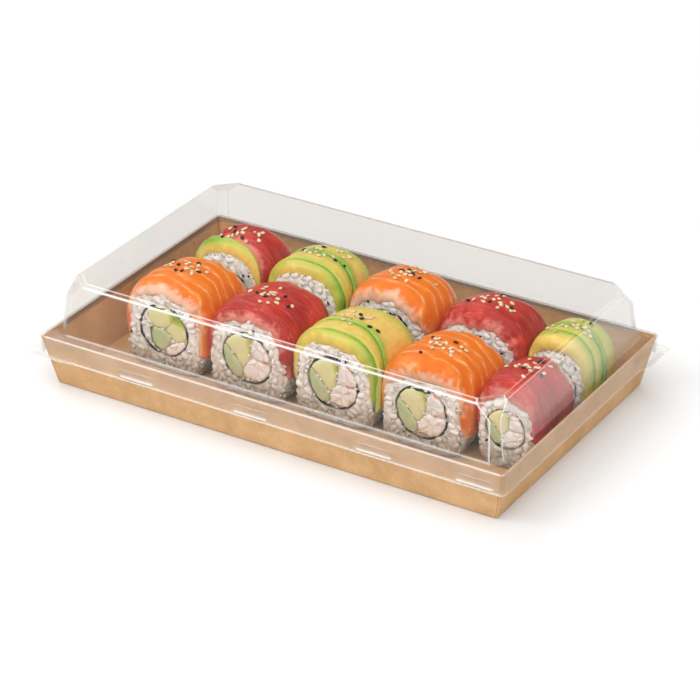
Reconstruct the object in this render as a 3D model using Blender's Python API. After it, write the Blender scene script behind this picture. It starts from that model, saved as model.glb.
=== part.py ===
"""Takeaway sushi tray: a folded kraft-board tray, a clear clip-on lid and ten topped rice rolls.

+X runs along the long side, -Y is the front, +Z is up, and the tray stands on z = 0.
Sizes below are in millimetres; MM turns them into metres when a mesh is made.
"""
import math

import bmesh
import bpy

MM = 0.001
GAP = 0.3                      # clearance kept between touching pieces

# Tray: one board folded up into four flared walls
TRAY_HALF_X = 114.05           # outer half length at the rim
TRAY_HALF_Y = 69.18            # outer half width at the rim
TRAY_HEIGHT = 23.85
TRAY_FLARE = 4.71              # how far the foot stands in from the rim, on each side
BOARD = 0.6
FOLD_RADIUS = 0.8
BASE_FOLD = 0.5                # rounding where the walls leave the floor

# Lid: one vacuum-formed sheet
SHEET = 0.5
LID_HALF_X = 115.0             # outer half length at the shoulder
LID_HALF_Y = 70.13
SHOULDER_Z = 24.65
SKIRT_Z = 15.4                 # where the skirt turns out into its lip
LIP_Z = 14.6
LIP_OUT = 0.9
SKIRT_TAPER = 0.6              # the skirt leans in this much from shoulder to lip
SHOULDER_WIDTH = 5.7
DOME_DRAFT = 3.3               # the dome wall leans in this much over its height
WALL_TOP_Z = 48.4
FACET_FOOT_Z = 42.6
TOP_Z = 49.65
TOP_BEVEL = 1.9                # sloping band between the dome wall and the top panel
CORNER_CUT = 8.8               # legs of the sloping facet at each top corner
TOP_CORNER_CUT = 8.0           # the same at the top panel
CORNER_STEPS = 4
FACET_FOOT_RADIUS = 3.2        # corner radii, from the foot of the facets down to the skirt
DOME_FOOT_RADIUS = 4.2
SHOULDER_INNER_RADIUS = 4.6
SHOULDER_OUTER_RADIUS = 2.2
SKIRT_RADIUS = 2.0
CUT_STRAIGHT = 0.95            # how straight the facets are at their top, and at their foot
FOOT_STRAIGHT = 0.3
BEND = 0.5                     # size of the bends at both edges of the shoulder
LIP_HEIGHT = 0.4
TAB_OUT = 3.6                  # corner lifting tabs, on two opposite corners
TAB_RISE = 2.0
TAB_REACH = 20.0               # how far along each side a tab starts, and the share of that
TAB_FULL_SHARE = 0.72          # where it stands out fully
TAB_MARGIN = 1.0
SNAP_CENTRES = (-63.6, -5.9, 54.3, 101.5)
SNAP_WIDTH = 17.5
SNAP_BOTTOM_Z = 15.8
SNAP_TOP_Z = 19.8
SNAP_OUT = 0.8
SNAP_ROOT = 0.1                # how far the ramps are sunk in or stand off at their edges
SNAP_LEDGE = (0.3, 1.0)        # heights of the ledge's lower and upper edge above the ramp's bottom
SNAP_SHARE = 0.904             # height of a ramp's ends beside its middle

# Rolls
FLOOR_Z = BOARD + GAP
LOOP_POINTS = 22
TOP_POWER = 0.84               # 1 is round, less is squarer
BOTTOM_POWER = 0.3
MIDDLE_SHARE = 0.52            # height of the widest place, as a share of the rice height
TOPPING_TOP = 3.4              # topping thickness over the crest
TOPPING_SIDE = 1.7             # and at its lower ends
TOPPING_EDGE = 0.3             # share of that thickness left at the front and back edges
TOPPING_TAPER = 9.0            # how far in from those edges it reaches its full thickness
END_SHARE = 0.45               # share of it left at the lower ends
END_RISE = 4.0                 # how fast it grows from there, per share of the way across
TOPPING_STEPS = 15
TOPPING_CROWN = 0.7            # extra thickness over the middle of the crest
FACE_ROUND = 4.0               # rounding between a cut face and the outside of the rice
BACK_ROUND = 4.8               # the same at the back face
DROOP = 0.05                   # share of its height that a roll has lost at its back face
BASE_ROUND = 0.3               # how far the foot of a rounded face lifts, as a share of the rounding's depth
FACE_TURNS = (90.0, 60.0, 30.0, 0.0)    # stations round both, in degrees
EDGE_TURN = 46.0               # how far round them the topping's edges go, in degrees
EDGE_STEPS = 4
SLICE_REACH = 9.0              # how far behind the front face back1's avocado slice ends, at the crest
SLICE_SLANT = 14.0             # how much further it reaches at the left side than at the right
THIN_FROM = 0.35               # from this share of the length on, toppings get thinner towards the back
THIN_BY = 0.5                  # and this is the share they have lost there
NORI = 0.45
NORI_HALF_X = 12.6
NORI_HALF_Z = 12.2
CORE_RECESS = 0.25             # fillings stop this far inside the cut face

COLOURS = {                    # base colour, roughness, metallic, alpha
    "kraft_board": ((0.62, 0.38, 0.19), 0.85, 0.0, 1.0),
    "clear_sheet": ((0.90, 0.92, 0.92), 0.06, 0.0, 0.3),
    "salmon": ((0.87, 0.25, 0.05), 0.38, 0.0, 1.0),
    "tuna": ((0.48, 0.03, 0.045), 0.35, 0.0, 1.0),
    "avocado": ((0.66, 0.62, 0.14), 0.45, 0.0, 1.0),
    "rice": ((0.76, 0.73, 0.67), 0.5, 0.0, 1.0),
    "nori": ((0.015, 0.022, 0.015), 0.55, 0.0, 1.0),
    "cucumber": ((0.42, 0.55, 0.22), 0.4, 0.0, 1.0),
    "crab": ((0.85, 0.62, 0.55), 0.45, 0.0, 1.0),
}

# One row per roll: topping, middle x, front y, back y, width, height, yaw in degrees, how far the
# topping reaches below the widest place at its left and right, in degrees, how much further its front
# edge hangs at the crest, and how far the nori's centre is above the middle of the rice
ROLLS = {
    "front1": ("salmon", -75.2, -33.0, 8.8, 43.6, 42.8, 0.2, 2, 7, 0.6, 0.3),
    "front2": ("tuna", -31.3, -34.0, 8.0, 43.3, 42.8, -0.1, 2, 3, 0.6, -0.6),
    "front3": ("avocado", 12.4, -34.0, 4.6, 43.2, 43.2, 0.1, 4, 6, 0.8, -0.3),
    "front4": ("salmon", 55.9, -34.4, 8.4, 43.0, 42.6, -0.1, 4, 9, 4.6, -1.4),
    "front5": ("tuna", 93.0, -29.4, 8.4, 30.6, 41.0, 0.0, 3, 5, 3.6, 0.0),
    "back1": ("tuna", -74.4, 15.8, 48.4, 38.4, 42.4, -0.5, 3, 5, 0.4, -2.6),
    "back2": ("avocado", -34.0, 15.8, 47.4, 41.0, 42.2, 0.2, 4, 6, 0.4, -2.2),
    "back3": ("salmon", 9.4, 15.4, 49.8, 43.2, 42.6, -0.2, 3, 6, 3.0, -0.6),
    "back4": ("tuna", 54.6, 15.4, 46.8, 43.2, 42.8, 0.2, 3, 5, 2.4, -2.8),
    "back5": ("avocado", 92.4, 16.6, 45.8, 31.4, 40.6, 0.0, 4, 4, 2.0, -2.0),
}

# Fillings inside the nori: they meet at a junction, given from the nori's centre, and each one
# spans a range of degrees about it, out to the nori
USUAL_FILLING = ((-1.5, -4.6), {"avocado": (72, 136), "cucumber": (136, 262), "crab": (-98, 72)})
FIRST_FILLING = ((1.0, 0.4), {"avocado": (24, 150), "cucumber_a": (208, 262), "cucumber_b": (-38, 24),
                              "crab": (-98, -38)})
USUAL_RICE_HALF = 18.0         # half width of the rice that a full-size core belongs to
FILLING_STEP = 18              # degrees between points on a filling's outer edge
WAIST_AT = 14                  # direction of the crab's waist between its two lobes
WAIST_DEPTH = 0.13
WAIST_SPREAD = 22.0


def clear_scene():
    for old in list(bpy.data.objects):
        bpy.data.objects.remove(old, do_unlink=True)


def make_material(name):
    colour, roughness, metallic, alpha = COLOURS[name]
    material = bpy.data.materials.new(name)
    material.use_nodes = True
    shader = material.node_tree.nodes["Principled BSDF"]
    shader.inputs["Base Color"].default_value = (*colour, 1.0)
    shader.inputs["Roughness"].default_value = roughness
    shader.inputs["Metallic"].default_value = metallic
    shader.inputs["Alpha"].default_value = alpha
    return material


def material_for(name):
    return bpy.data.materials.get(name) or make_material(name)


def make_object(name, mesh_data, material, smooth_deg=None):
    """Turn a bmesh in millimetres into a named object in metres."""
    bmesh.ops.scale(mesh_data, vec=(MM, MM, MM), verts=mesh_data.verts)
    bmesh.ops.recalc_face_normals(mesh_data, faces=mesh_data.faces)
    mesh = bpy.data.meshes.new(name)
    mesh_data.to_mesh(mesh)
    mesh_data.free()
    mesh.materials.append(material_for(material))
    if smooth_deg is not None:
        mesh.shade_smooth()
        mesh.set_sharp_from_angle(angle=math.radians(smooth_deg))
    made = bpy.data.objects.new(name, mesh)
    bpy.context.scene.collection.objects.link(made)
    return made


def loft(loops, wrap=False):
    """Skin equal closed loops in order; wrap joins the last to the first, else both ends are capped."""
    skin = bmesh.new()
    rings = [[skin.verts.new(point) for point in loop] for loop in loops]
    count = len(rings[0])
    pairs = list(zip(rings, rings[1:]))
    if wrap:
        pairs.append((rings[-1], rings[0]))
    for low, high in pairs:
        for i in range(count):
            j = (i + 1) % count
            skin.faces.new((low[i], low[j], high[j], high[i]))
    if not wrap:
        skin.faces.new(list(reversed(rings[0])))
        skin.faces.new(rings[-1])
    return skin


# ---------------------------------------------------------------- tray and lid

def rounded_rectangle(half_x, half_y, z, radius, steps):
    """Counter-clockwise outline with round corners."""
    points = []
    for start, sign_x, sign_y in ((0, 1, 1), (90, -1, 1), (180, -1, -1), (270, 1, -1)):
        for step in range(steps + 1):
            angle = math.radians(start + 90.0 * step / steps)
            x = sign_x * (half_x - radius) + radius * math.cos(angle)
            y = sign_y * (half_y - radius) + radius * math.sin(angle)
            points.append((x, y, z))
    return points


def build_tray():
    slope = TRAY_FLARE / TRAY_HEIGHT

    def outline(z, inset, radius):
        lean = slope * (TRAY_HEIGHT - z) + inset
        return rounded_rectangle(TRAY_HALF_X - lean, TRAY_HALF_Y - lean, z, radius, 2)

    inner_radius = FOLD_RADIUS * 0.5
    loops = [
        outline(0.0, BASE_FOLD, FOLD_RADIUS),
        outline(BASE_FOLD, 0.0, FOLD_RADIUS),
        outline(TRAY_HEIGHT, 0.0, FOLD_RADIUS),
        outline(TRAY_HEIGHT, BOARD, inner_radius),
        outline(BOARD + BASE_FOLD, BOARD, inner_radius),
        outline(BOARD, BOARD + BASE_FOLD, inner_radius),
    ]
    return make_object("tray", loft(loops), "kraft_board")


def lid_outline(inset, z, corner, straight=0.0, tab=0.0):
    """Lid outline at one height.

    corner is the corner's radius; straight, from 0 to 1, flattens the corner arc into a cut;
    tab pushes the lip out and up around the two opposite corners that have lifting tabs.
    """
    half_x = LID_HALF_X - inset
    half_y = LID_HALF_Y - inset
    points = []
    for turn, (sign_x, sign_y) in enumerate(((1, 1), (-1, 1), (-1, -1), (1, -1))):
        start = 90.0 * turn
        has_tab = sign_x == sign_y
        arc = []
        for step in range(CORNER_STEPS + 1):
            share = step / CORNER_STEPS
            angle = math.radians(start + 90.0 * share)
            round_x = corner * math.cos(angle)
            round_y = corner * math.sin(angle)
            first = (math.cos(math.radians(start)), math.sin(math.radians(start)))
            last = (math.cos(math.radians(start + 90)), math.sin(math.radians(start + 90)))
            flat_x = corner * (first[0] * (1 - share) + last[0] * share)
            flat_y = corner * (first[1] * (1 - share) + last[1] * share)
            arc.append((
                sign_x * (half_x - corner) + round_x * (1 - straight) + flat_x * straight,
                sign_y * (half_y - corner) + round_y * (1 - straight) + flat_y * straight,
                1.0,
            ))
        before = run_in(sign_x, sign_y, half_x, half_y, before=True)
        after = run_in(sign_x, sign_y, half_x, half_y, before=False)
        for x, y, weight in before + arc + after:
            push = tab * weight if has_tab else 0.0
            out_x = sign_x * TAB_OUT * push if abs(x) > half_x - corner - TAB_MARGIN else 0.0
            out_y = sign_y * TAB_OUT * push if abs(y) > half_y - corner - TAB_MARGIN else 0.0
            points.append((x + out_x, y + out_y, z + TAB_RISE * push))
    return points


def run_in(sign_x, sign_y, half_x, half_y, before):
    """Two points on the straight side next to a corner, with how much of the tab they carry."""
    on_long_side = (sign_x == sign_y) != before
    far_near = ((TAB_REACH, 0.0), (TAB_REACH * TAB_FULL_SHARE, 1.0))
    if not before:
        far_near = tuple(reversed(far_near))
    if on_long_side:
        return [(sign_x * (half_x - reach), sign_y * half_y, weight) for reach, weight in far_near]
    return [(sign_x * half_x, sign_y * (half_y - reach), weight) for reach, weight in far_near]


def lid_loops():
    """Loops from the middle of the top panel, down the outside, round the lip and back up the inside."""
    foot = SHOULDER_WIDTH
    draft = DOME_DRAFT / (WALL_TOP_Z - SHOULDER_Z)

    def wall(z, thick):
        return foot + draft * (z - SHOULDER_Z) + thick

    def skirt(z, thick):
        return SKIRT_TAPER * (SHOULDER_Z - z) / (SHOULDER_Z - SKIRT_Z) + thick

    # the inside follows at shares of the sheet's thickness that keep the wall even round its bends
    top = wall(WALL_TOP_Z, 0.0)
    bend_z = SHOULDER_Z + BEND
    under_z = SHOULDER_Z - BEND
    lip_inset = SKIRT_TAPER - LIP_OUT
    loops = []
    for thick, inside in ((0.0, False), (SHEET, True)):
        side = [
            lid_outline(top + TOP_BEVEL + 0.2 * thick, TOP_Z - thick, TOP_CORNER_CUT, 1.0),
            lid_outline(top + 0.9 * thick, WALL_TOP_Z - 0.5 * thick, CORNER_CUT, CUT_STRAIGHT),
            lid_outline(wall(FACET_FOOT_Z, thick), FACET_FOOT_Z, FACET_FOOT_RADIUS, FOOT_STRAIGHT),
            lid_outline(wall(bend_z, thick), bend_z - thick, DOME_FOOT_RADIUS),
            lid_outline(foot - BEND + 1.2 * thick, SHOULDER_Z - thick, SHOULDER_INNER_RADIUS),
            lid_outline(0.9 * BEND + 0.6 * thick, SHOULDER_Z - thick, SHOULDER_OUTER_RADIUS),
            lid_outline(skirt(under_z, thick), under_z - 0.5 * thick, SKIRT_RADIUS),
            lid_outline(skirt(SKIRT_Z, thick), SKIRT_Z - 0.3 * thick, SKIRT_RADIUS),
        ]
        if inside:
            loops += list(reversed(side))
        else:
            loops += side
            for z in (LIP_Z + LIP_HEIGHT, LIP_Z):
                loops.append(lid_outline(lip_inset, z, SHOULDER_OUTER_RADIUS, tab=1.0))
    return loops


def snap_ramp(centre_x, sign_y):
    """A wedge pressed out of the skirt, deepest at its lower ledge."""
    left = centre_x - SNAP_WIDTH / 2
    right = centre_x + SNAP_WIDTH / 2
    root = LID_HALF_Y - SKIRT_TAPER - SHEET * 0.5
    ledge_low, ledge_high = SNAP_LEDGE
    section = (
        (root - SNAP_ROOT, SNAP_BOTTOM_Z),
        (root + SHEET * 0.5 + SNAP_OUT, SNAP_BOTTOM_Z + ledge_low),
        (root + SHEET * 0.5 + SNAP_OUT, SNAP_BOTTOM_Z + ledge_high),
        (root + SNAP_ROOT, SNAP_TOP_Z),
    )
    middle = sum(z for _, z in section) / len(section)
    loops = []
    for x in (left, right):
        loops.append([(x, sign_y * y, middle + (z - middle) * SNAP_SHARE) for y, z in section])
    return loft(loops)


def build_lid():
    lid = make_object("lid", loft(lid_loops()), "clear_sheet")
    for number, centre_x in enumerate(SNAP_CENTRES):
        for side, sign_y in (("front", -1), ("back", 1)):
            ramp = make_object(f"cutter_snap_{side}_{number}", snap_ramp(centre_x, sign_y), "clear_sheet")
            ramp.hide_render = True
            ramp.display_type = "WIRE"
            union = lid.modifiers.new(f"snap_{side}_{number}", "BOOLEAN")
            union.operation = "UNION"
            union.object = ramp
    return lid


# ---------------------------------------------------------------- rolls

def signed_power(value, power):
    return math.copysign(abs(value) ** power, value)


class Roll:
    """Size and place of one roll, and the outlines every layer of it is made from."""

    def __init__(self, name):
        (self.topping, self.x, self.front, self.back, self.width, self.height,
         yaw, self.left_drop, self.right_drop, self.hang, nori_rise) = ROLLS[name]
        self.name = name
        self.yaw = math.radians(yaw)
        self.middle_y = (self.front + self.back) / 2
        self.rice_half = self.width / 2 - TOPPING_SIDE - GAP
        self.rice_top = self.height - TOPPING_TOP - GAP
        self.middle_z = FLOOR_Z + (self.rice_top - FLOOR_Z) * MIDDLE_SHARE
        self.core_z = FLOOR_Z + (self.rice_top - FLOOR_Z) / 2 + nori_rise
        self.core_scale = min(1.0, self.rice_half / USUAL_RICE_HALF)
        self.round = FACE_ROUND * self.core_scale
        self.back_round = BACK_ROUND * self.core_scale

    def place(self, x, y, z):
        """Let a point down a little towards the back, turn it about the roll's middle and move it there."""
        share = min(1.0, max(0.0, (y - self.front) / (self.back - self.front)))
        z = FLOOR_Z + (z - FLOOR_Z) * (1 - DROOP * share ** 2)
        along = y - self.middle_y
        return (
            self.x + x * math.cos(self.yaw) - along * math.sin(self.yaw),
            self.middle_y + x * math.sin(self.yaw) + along * math.cos(self.yaw),
            z,
        )

    def wrap(self, run, offset):
        """y, and growth of the outline, for a place offset above the rice.

        run is y along the middle of the roll, and past a rounded edge it goes on down the cut face.
        """
        if self.front + self.round - run > run - self.back + self.back_round:
            face, radius, sign = self.front, self.round, -1.0
        else:
            face, radius, sign = self.back, self.back_round, 1.0
        past = radius - sign * (face - run)
        if past <= 0.0:
            return run, offset
        turn = min(past / radius, math.pi / 2)
        down = max(0.0, past - radius * math.pi / 2)
        reach = radius + offset
        y = face - sign * radius + sign * reach * math.sin(turn)
        return y, reach * math.cos(turn) - radius - down

    def outline(self, degrees, grow):
        """Point of the rice outline, grown outwards; 0 degrees is the right side, 90 the crest."""
        angle = math.radians(degrees)
        sine = math.sin(angle)
        power = TOP_POWER if sine >= 0 else BOTTOM_POWER
        x = (self.rice_half + grow) * signed_power(math.cos(angle), power)
        if sine >= 0:
            z = self.middle_z + (self.rice_top + grow - self.middle_z) * sine ** power
        else:
            z = self.middle_z - (self.middle_z - FLOOR_Z) * abs(sine) ** power
        return x, z


def rice_loop(roll, y, grow):
    loop = []
    for step in range(LOOP_POINTS):
        x, z = roll.outline(360.0 * step / LOOP_POINTS, grow)
        lift = max(0.0, FLOOR_Z + BASE_ROUND * max(0.0, -grow) - z)
        loop.append(roll.place(x, y, z + lift))
    return loop


def core_loop(roll, y, grow):
    """Oval round the fillings, the size of the nori's outside grown by grow."""
    half_x = (NORI_HALF_X + grow) * roll.core_scale
    half_z = (NORI_HALF_Z + grow) * roll.core_scale
    loop = []
    for step in range(LOOP_POINTS):
        angle = math.tau * step / LOOP_POINTS
        loop.append(roll.place(half_x * math.cos(angle), y, roll.core_z + half_z * math.sin(angle)))
    return loop


def build_rice(roll):
    loops = []
    for turn in FACE_TURNS:
        y, grow = roll.wrap(roll.front + roll.round * (1 - math.radians(turn)), 0.0)
        loops.append(rice_loop(roll, y, grow))
    for turn in reversed(FACE_TURNS):
        y, grow = roll.wrap(roll.back - roll.back_round * (1 - math.radians(turn)), 0.0)
        loops.append(rice_loop(roll, y, grow))
    loops.append(core_loop(roll, roll.back, GAP))
    loops.append(core_loop(roll, roll.front, GAP))
    return make_object(f"{roll.name}_rice", loft(loops, wrap=True), "rice", 50)


def build_nori(roll):
    front = roll.front + CORE_RECESS
    back = roll.back - CORE_RECESS
    loops = [
        core_loop(roll, front, 0.0),
        core_loop(roll, back, 0.0),
        core_loop(roll, back, -NORI),
        core_loop(roll, front, -NORI),
    ]
    return make_object(f"{roll.name}_nori", loft(loops, wrap=True), "nori", 50)


def build_core(roll):
    """Nori-wrapped filling of a roll whose cut faces are out of sight, as one piece."""
    loops = [core_loop(roll, y, 0.0) for y in (roll.front + CORE_RECESS, roll.back - CORE_RECESS)]
    return make_object(f"{roll.name}_core", loft(loops), "nori", 50)


def filling_loop(roll, y, junction, span, waisted):
    """Wedge from near the junction out to the inside of the nori."""
    half_x = NORI_HALF_X - NORI - GAP
    half_z = NORI_HALF_Z - NORI - GAP
    half_span = math.radians(span[1] - span[0]) / 2
    middle = math.radians(span[0] + span[1]) / 2
    tip = GAP / math.sin(half_span)
    tip_x = junction[0] + tip * math.cos(middle)
    tip_z = junction[1] + tip * math.sin(middle)
    points = [(tip_x, tip_z)]
    steps = max(3, round((span[1] - span[0]) / FILLING_STEP))
    for step in range(steps + 1):
        degrees = span[0] + (span[1] - span[0]) * step / steps
        way_x = math.cos(math.radians(degrees))
        way_z = math.sin(math.radians(degrees))
        # distance along this direction to the oval x^2 / half_x^2 + z^2 / half_z^2 = 1
        square = (way_x / half_x) ** 2 + (way_z / half_z) ** 2
        cross = tip_x * way_x / half_x ** 2 + tip_z * way_z / half_z ** 2
        rest = (tip_x / half_x) ** 2 + (tip_z / half_z) ** 2 - 1
        reach = (-cross + math.sqrt(cross ** 2 - square * rest)) / square
        if waisted:
            reach *= 1 - WAIST_DEPTH * math.exp(-((degrees - WAIST_AT) / WAIST_SPREAD) ** 2)
        points.append((tip_x + way_x * reach, tip_z + way_z * reach))
    return [roll.place(x * roll.core_scale, y, roll.core_z + z * roll.core_scale) for x, z in points]


def build_filling(roll, name, junction, span):
    front = roll.front + CORE_RECESS
    back = roll.back - CORE_RECESS
    waisted = name == "crab" and span[1] - span[0] > 90
    loops = [filling_loop(roll, y, junction, span, waisted) for y in (front, back)]
    return make_object(f"{roll.name}_{name}", loft(loops), name.split("_")[0], 50)


def front_edge(roll, share):
    """Where the topping's front edge runs, for a share across from right to left."""
    hang = roll.hang * math.sin(math.pi * share) ** 2
    return roll.front + roll.round * (1 - math.radians(EDGE_TURN)) - hang


def back_edge(roll):
    return roll.back - roll.back_round * (1 - math.radians(EDGE_TURN))


def stations(start, stop, roll):
    """Stations from edge to edge, close together over the rounded edges: how far, thickness share, crown."""
    after = min(max(roll.front + roll.round, start), stop)
    before = max(min(roll.back - roll.back_round, stop), after)
    found = [start + (after - start) * step / EDGE_STEPS for step in range(EDGE_STEPS)]
    found += [after, (after + before) / 2, before, (before + stop) / 2, stop]
    rows = []
    for run in found:
        from_edge = min(run - start, stop - run)
        thin = TOPPING_EDGE + (1 - TOPPING_EDGE) * min(1.0, from_edge / TOPPING_TAPER)
        thin_from = roll.front + THIN_FROM * (roll.back - roll.front)
        thin *= 1 - THIN_BY * max(0.0, (run - thin_from) / (roll.back - thin_from))
        way = (run - start) / (stop - start)
        rows.append((run, thin, 4.0 * way * (1 - way)))
    return rows


def build_topping(roll, name, material, front_at, back_at):
    """Slab draped over the rice; front_at and back_at give its edges for a share across, 0 to 1."""
    first = -roll.right_drop
    last = 180.0 + roll.left_drop
    columns = []
    for step in range(TOPPING_STEPS + 1):
        share = step / TOPPING_STEPS
        degrees = first + (last - first) * share
        swell = max(0.0, math.sin(math.radians(degrees)))
        end = min(1.0, END_SHARE + END_RISE * min(share, 1.0 - share))
        column = []
        for run, thin, crown in stations(front_at(share), back_at(share), roll):
            thick = (TOPPING_SIDE + (TOPPING_TOP - TOPPING_SIDE) * swell) * thin * end
            pair = []
            for offset in (GAP, GAP + thick + TOPPING_CROWN * crown * swell):
                y, grow = roll.wrap(run, offset)
                x, z = roll.outline(degrees, grow)
                pair.append(roll.place(x, y, z))
            column.append(pair)
        columns.append(column)
    loops = []
    for row in range(len(columns[0])):
        inside = [column[row][0] for column in columns]
        outside = [column[row][1] for column in columns]
        loops.append(outside + list(reversed(inside)))
    return make_object(f"{roll.name}_{name}", topping_skin(loops), material, 60)


def topping_skin(loops):
    """Skin of slab sections, with each end closed by a strip between its outside and inside."""
    skin = bmesh.new()
    rings = [[skin.verts.new(point) for point in loop] for loop in loops]
    count = len(rings[0])
    for low, high in zip(rings, rings[1:]):
        for i in range(count):
            j = (i + 1) % count
            skin.faces.new((low[i], low[j], high[j], high[i]))
    for ring in (rings[0], rings[-1]):
        for i in range(count // 2 - 1):
            skin.faces.new((ring[i], ring[i + 1], ring[count - 2 - i], ring[count - 1 - i]))
    return skin


def build_roll(name):
    roll = Roll(name)
    if name == "back1":
        def seam_at(share):
            return roll.front + SLICE_REACH + SLICE_SLANT * (share - 0.5)

        build_topping(roll, "avocado_slice", "avocado", lambda share: front_edge(roll, share), seam_at)
        build_topping(roll, "topping", roll.topping, lambda share: seam_at(share) + GAP,
                      lambda share: back_edge(roll))
    else:
        build_topping(roll, "topping", roll.topping, lambda share: front_edge(roll, share),
                      lambda share: back_edge(roll))
    build_rice(roll)
    if name.startswith("back"):
        build_core(roll)
        return
    build_nori(roll)
    junction, spans = FIRST_FILLING if name == "front1" else USUAL_FILLING
    for filling, span in spans.items():
        build_filling(roll, filling, junction, span)


clear_scene()
build_tray()
build_lid()
for roll_name in ROLLS:
    build_roll(roll_name)
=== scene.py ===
"""Looks of the takeaway sushi tray: kraft board, clear lid, topped rice rolls and sesame.

Lengths are in millimetres, in the row frame (+X along the long side, -Y the front, +Z up);
MM turns them into metres when a mesh is made. Places come from the CAD nodes' boxes.
"""
import math

import bpy
import numpy as np
from mathutils import Matrix, Vector


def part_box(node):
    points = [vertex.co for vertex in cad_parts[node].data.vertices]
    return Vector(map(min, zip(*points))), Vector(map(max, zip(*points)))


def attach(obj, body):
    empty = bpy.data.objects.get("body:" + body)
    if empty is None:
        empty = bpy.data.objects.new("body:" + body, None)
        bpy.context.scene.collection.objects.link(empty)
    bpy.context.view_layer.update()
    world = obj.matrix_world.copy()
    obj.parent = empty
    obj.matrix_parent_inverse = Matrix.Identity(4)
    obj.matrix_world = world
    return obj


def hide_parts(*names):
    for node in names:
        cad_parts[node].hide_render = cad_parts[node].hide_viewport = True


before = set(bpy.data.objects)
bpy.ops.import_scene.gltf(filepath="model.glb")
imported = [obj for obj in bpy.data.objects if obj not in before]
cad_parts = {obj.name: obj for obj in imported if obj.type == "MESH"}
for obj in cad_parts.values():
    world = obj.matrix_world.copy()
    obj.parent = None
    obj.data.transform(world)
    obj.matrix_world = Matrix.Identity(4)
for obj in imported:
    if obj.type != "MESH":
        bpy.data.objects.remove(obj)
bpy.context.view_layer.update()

MM = 0.001

# Camera: where it looks, from which side and height, and how far away
CAMERA_TARGET = (-15.59, 26.31, 0.0)
CAMERA_AZIMUTH = 31.471        # degrees round from the front
CAMERA_ELEVATION = 28.670
CAMERA_DISTANCE = 1315.0
CAMERA_ROLL = -0.152
CAMERA_LENS = 151.53           # on the standard 36 mm sensor

# Light: a sky, bright overhead and on the camera's side, and a wide sun from the left and back
SKY_FROM = (0.22, -0.45, 0.86)
SKY_DIM = 0.24
SKY_BRIGHT = 1.95
SUN_FROM = (-0.62, 0.42, 0.66)
SUN_STRENGTH = 0.75
SUN_WIDTH = 40.0
FLOOR_SHADE = 0.74

# Roll outline, the same shape as the CAD solids
TOP_POWER = 0.84
BOTTOM_POWER = 0.3
MIDDLE_SHARE = 0.52            # where a roll is widest, as a share of its height
TOPPING_GAP = 0.3              # from the rice outline to the topping's underside
FACE_ROUND = 4.0               # rounding between a cut face and the roll's outside
BACK_ROUND = 4.8               # the same at the back face
DROOP = 0.05                   # share of its height that a roll has lost at its back face
EDGE_TURN = 0.80               # how far round them a topping's edges go, in radians
NORI_THICK = 0.18
FULL_CORE_HALF = 12.6          # half the width of the nori in a full-size roll

# How far each topping reaches below the roll's widest place, left and right, in degrees
DROPS = {
    "front1": (2, 7), "front2": (2, 3), "front3": (4, 6), "front4": (4, 9), "front5": (3, 5),
    "back1": (3, 5), "back2": (4, 6), "back3": (3, 6), "back4": (3, 5), "back5": (4, 4),
}
# How much further each topping's front edge hangs down at its crest
HANGS = {
    "front1": 0.6, "front2": 0.6, "front3": 0.8, "front4": 4.6, "front5": 3.6,
    "back1": 0.4, "back2": 0.4, "back3": 3.0, "back4": 2.4, "back5": 2.0,
}
TOPPINGS = {
    "front1": "salmon", "front2": "tuna", "front3": "avocado", "front4": "salmon", "front5": "tuna",
    "back1": "tuna", "back2": "avocado", "back3": "salmon", "back4": "tuna", "back5": "avocado",
}


# ---------------------------------------------------------------- mesh helpers

def make_piece(name, points, faces, material, nodes=(), smooth=60.0):
    """Object from points in millimetres; it rides on the root and stands for the CAD nodes named."""
    mesh = bpy.data.meshes.new(name)
    mesh.from_pydata((np.asarray(points, float) * MM).tolist(), [], [list(map(int, f)) for f in faces])
    mesh.validate()
    mesh.materials.append(material)
    mesh.shade_smooth()
    mesh.set_sharp_from_angle(angle=math.radians(smooth))
    piece = bpy.data.objects.new(name, mesh)
    bpy.context.scene.collection.objects.link(piece)
    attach(piece, "root")
    if nodes:
        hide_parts(*nodes)
    return piece


def set_numbers(piece, name, values):
    """Store one number, or three, for each point of a piece."""
    values = np.asarray(values, np.float32)
    kind = "FLOAT_VECTOR" if values.ndim == 2 else "FLOAT"
    attribute = piece.data.attributes.new(name, kind, "POINT")
    attribute.data.foreach_set("vector" if kind == "FLOAT_VECTOR" else "value", values.ravel())


def grid_faces(rows, columns, wrap_rows=False, wrap_columns=False):
    """Quads over a grid of points stored row by row."""
    faces = []
    for i in range(rows if wrap_rows else rows - 1):
        for j in range(columns if wrap_columns else columns - 1):
            a = i * columns + j
            b = i * columns + (j + 1) % columns
            c = ((i + 1) % rows) * columns + (j + 1) % columns
            d = ((i + 1) % rows) * columns + j
            faces.append((a, b, c, d))
    return faces


def flipped(faces):
    """The same faces, turned the other way round."""
    return [tuple(reversed(face)) for face in faces]


def shifted(faces, start):
    """The same faces for points that are stored from start on."""
    return [tuple(start + i for i in face) for face in faces]


def sheet_faces(rows, columns):
    """Closed sheet over two grids of points: faces of the first grid, of the second grid and of the rim."""
    count = rows * columns
    faces = grid_faces(rows, columns)
    faces += shifted(flipped(faces), count)
    rim = list(range(columns)) + [i * columns + columns - 1 for i in range(1, rows)]
    rim += [(rows - 1) * columns + j for j in range(columns - 2, -1, -1)]
    rim += [i * columns for i in range(rows - 2, 0, -1)]
    for i, a in enumerate(rim):
        b = rim[(i + 1) % len(rim)]
        faces.append((b, a, count + a, count + b))
    return faces


def bar_faces(loops, columns):
    """Faces of a bar from closed loops of points, with a face over its first and its last loop."""
    last = (loops - 1) * columns
    ends = [tuple(reversed(range(columns))), tuple(range(last, last + columns))]
    return grid_faces(loops, columns, wrap_columns=True) + ends


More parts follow.
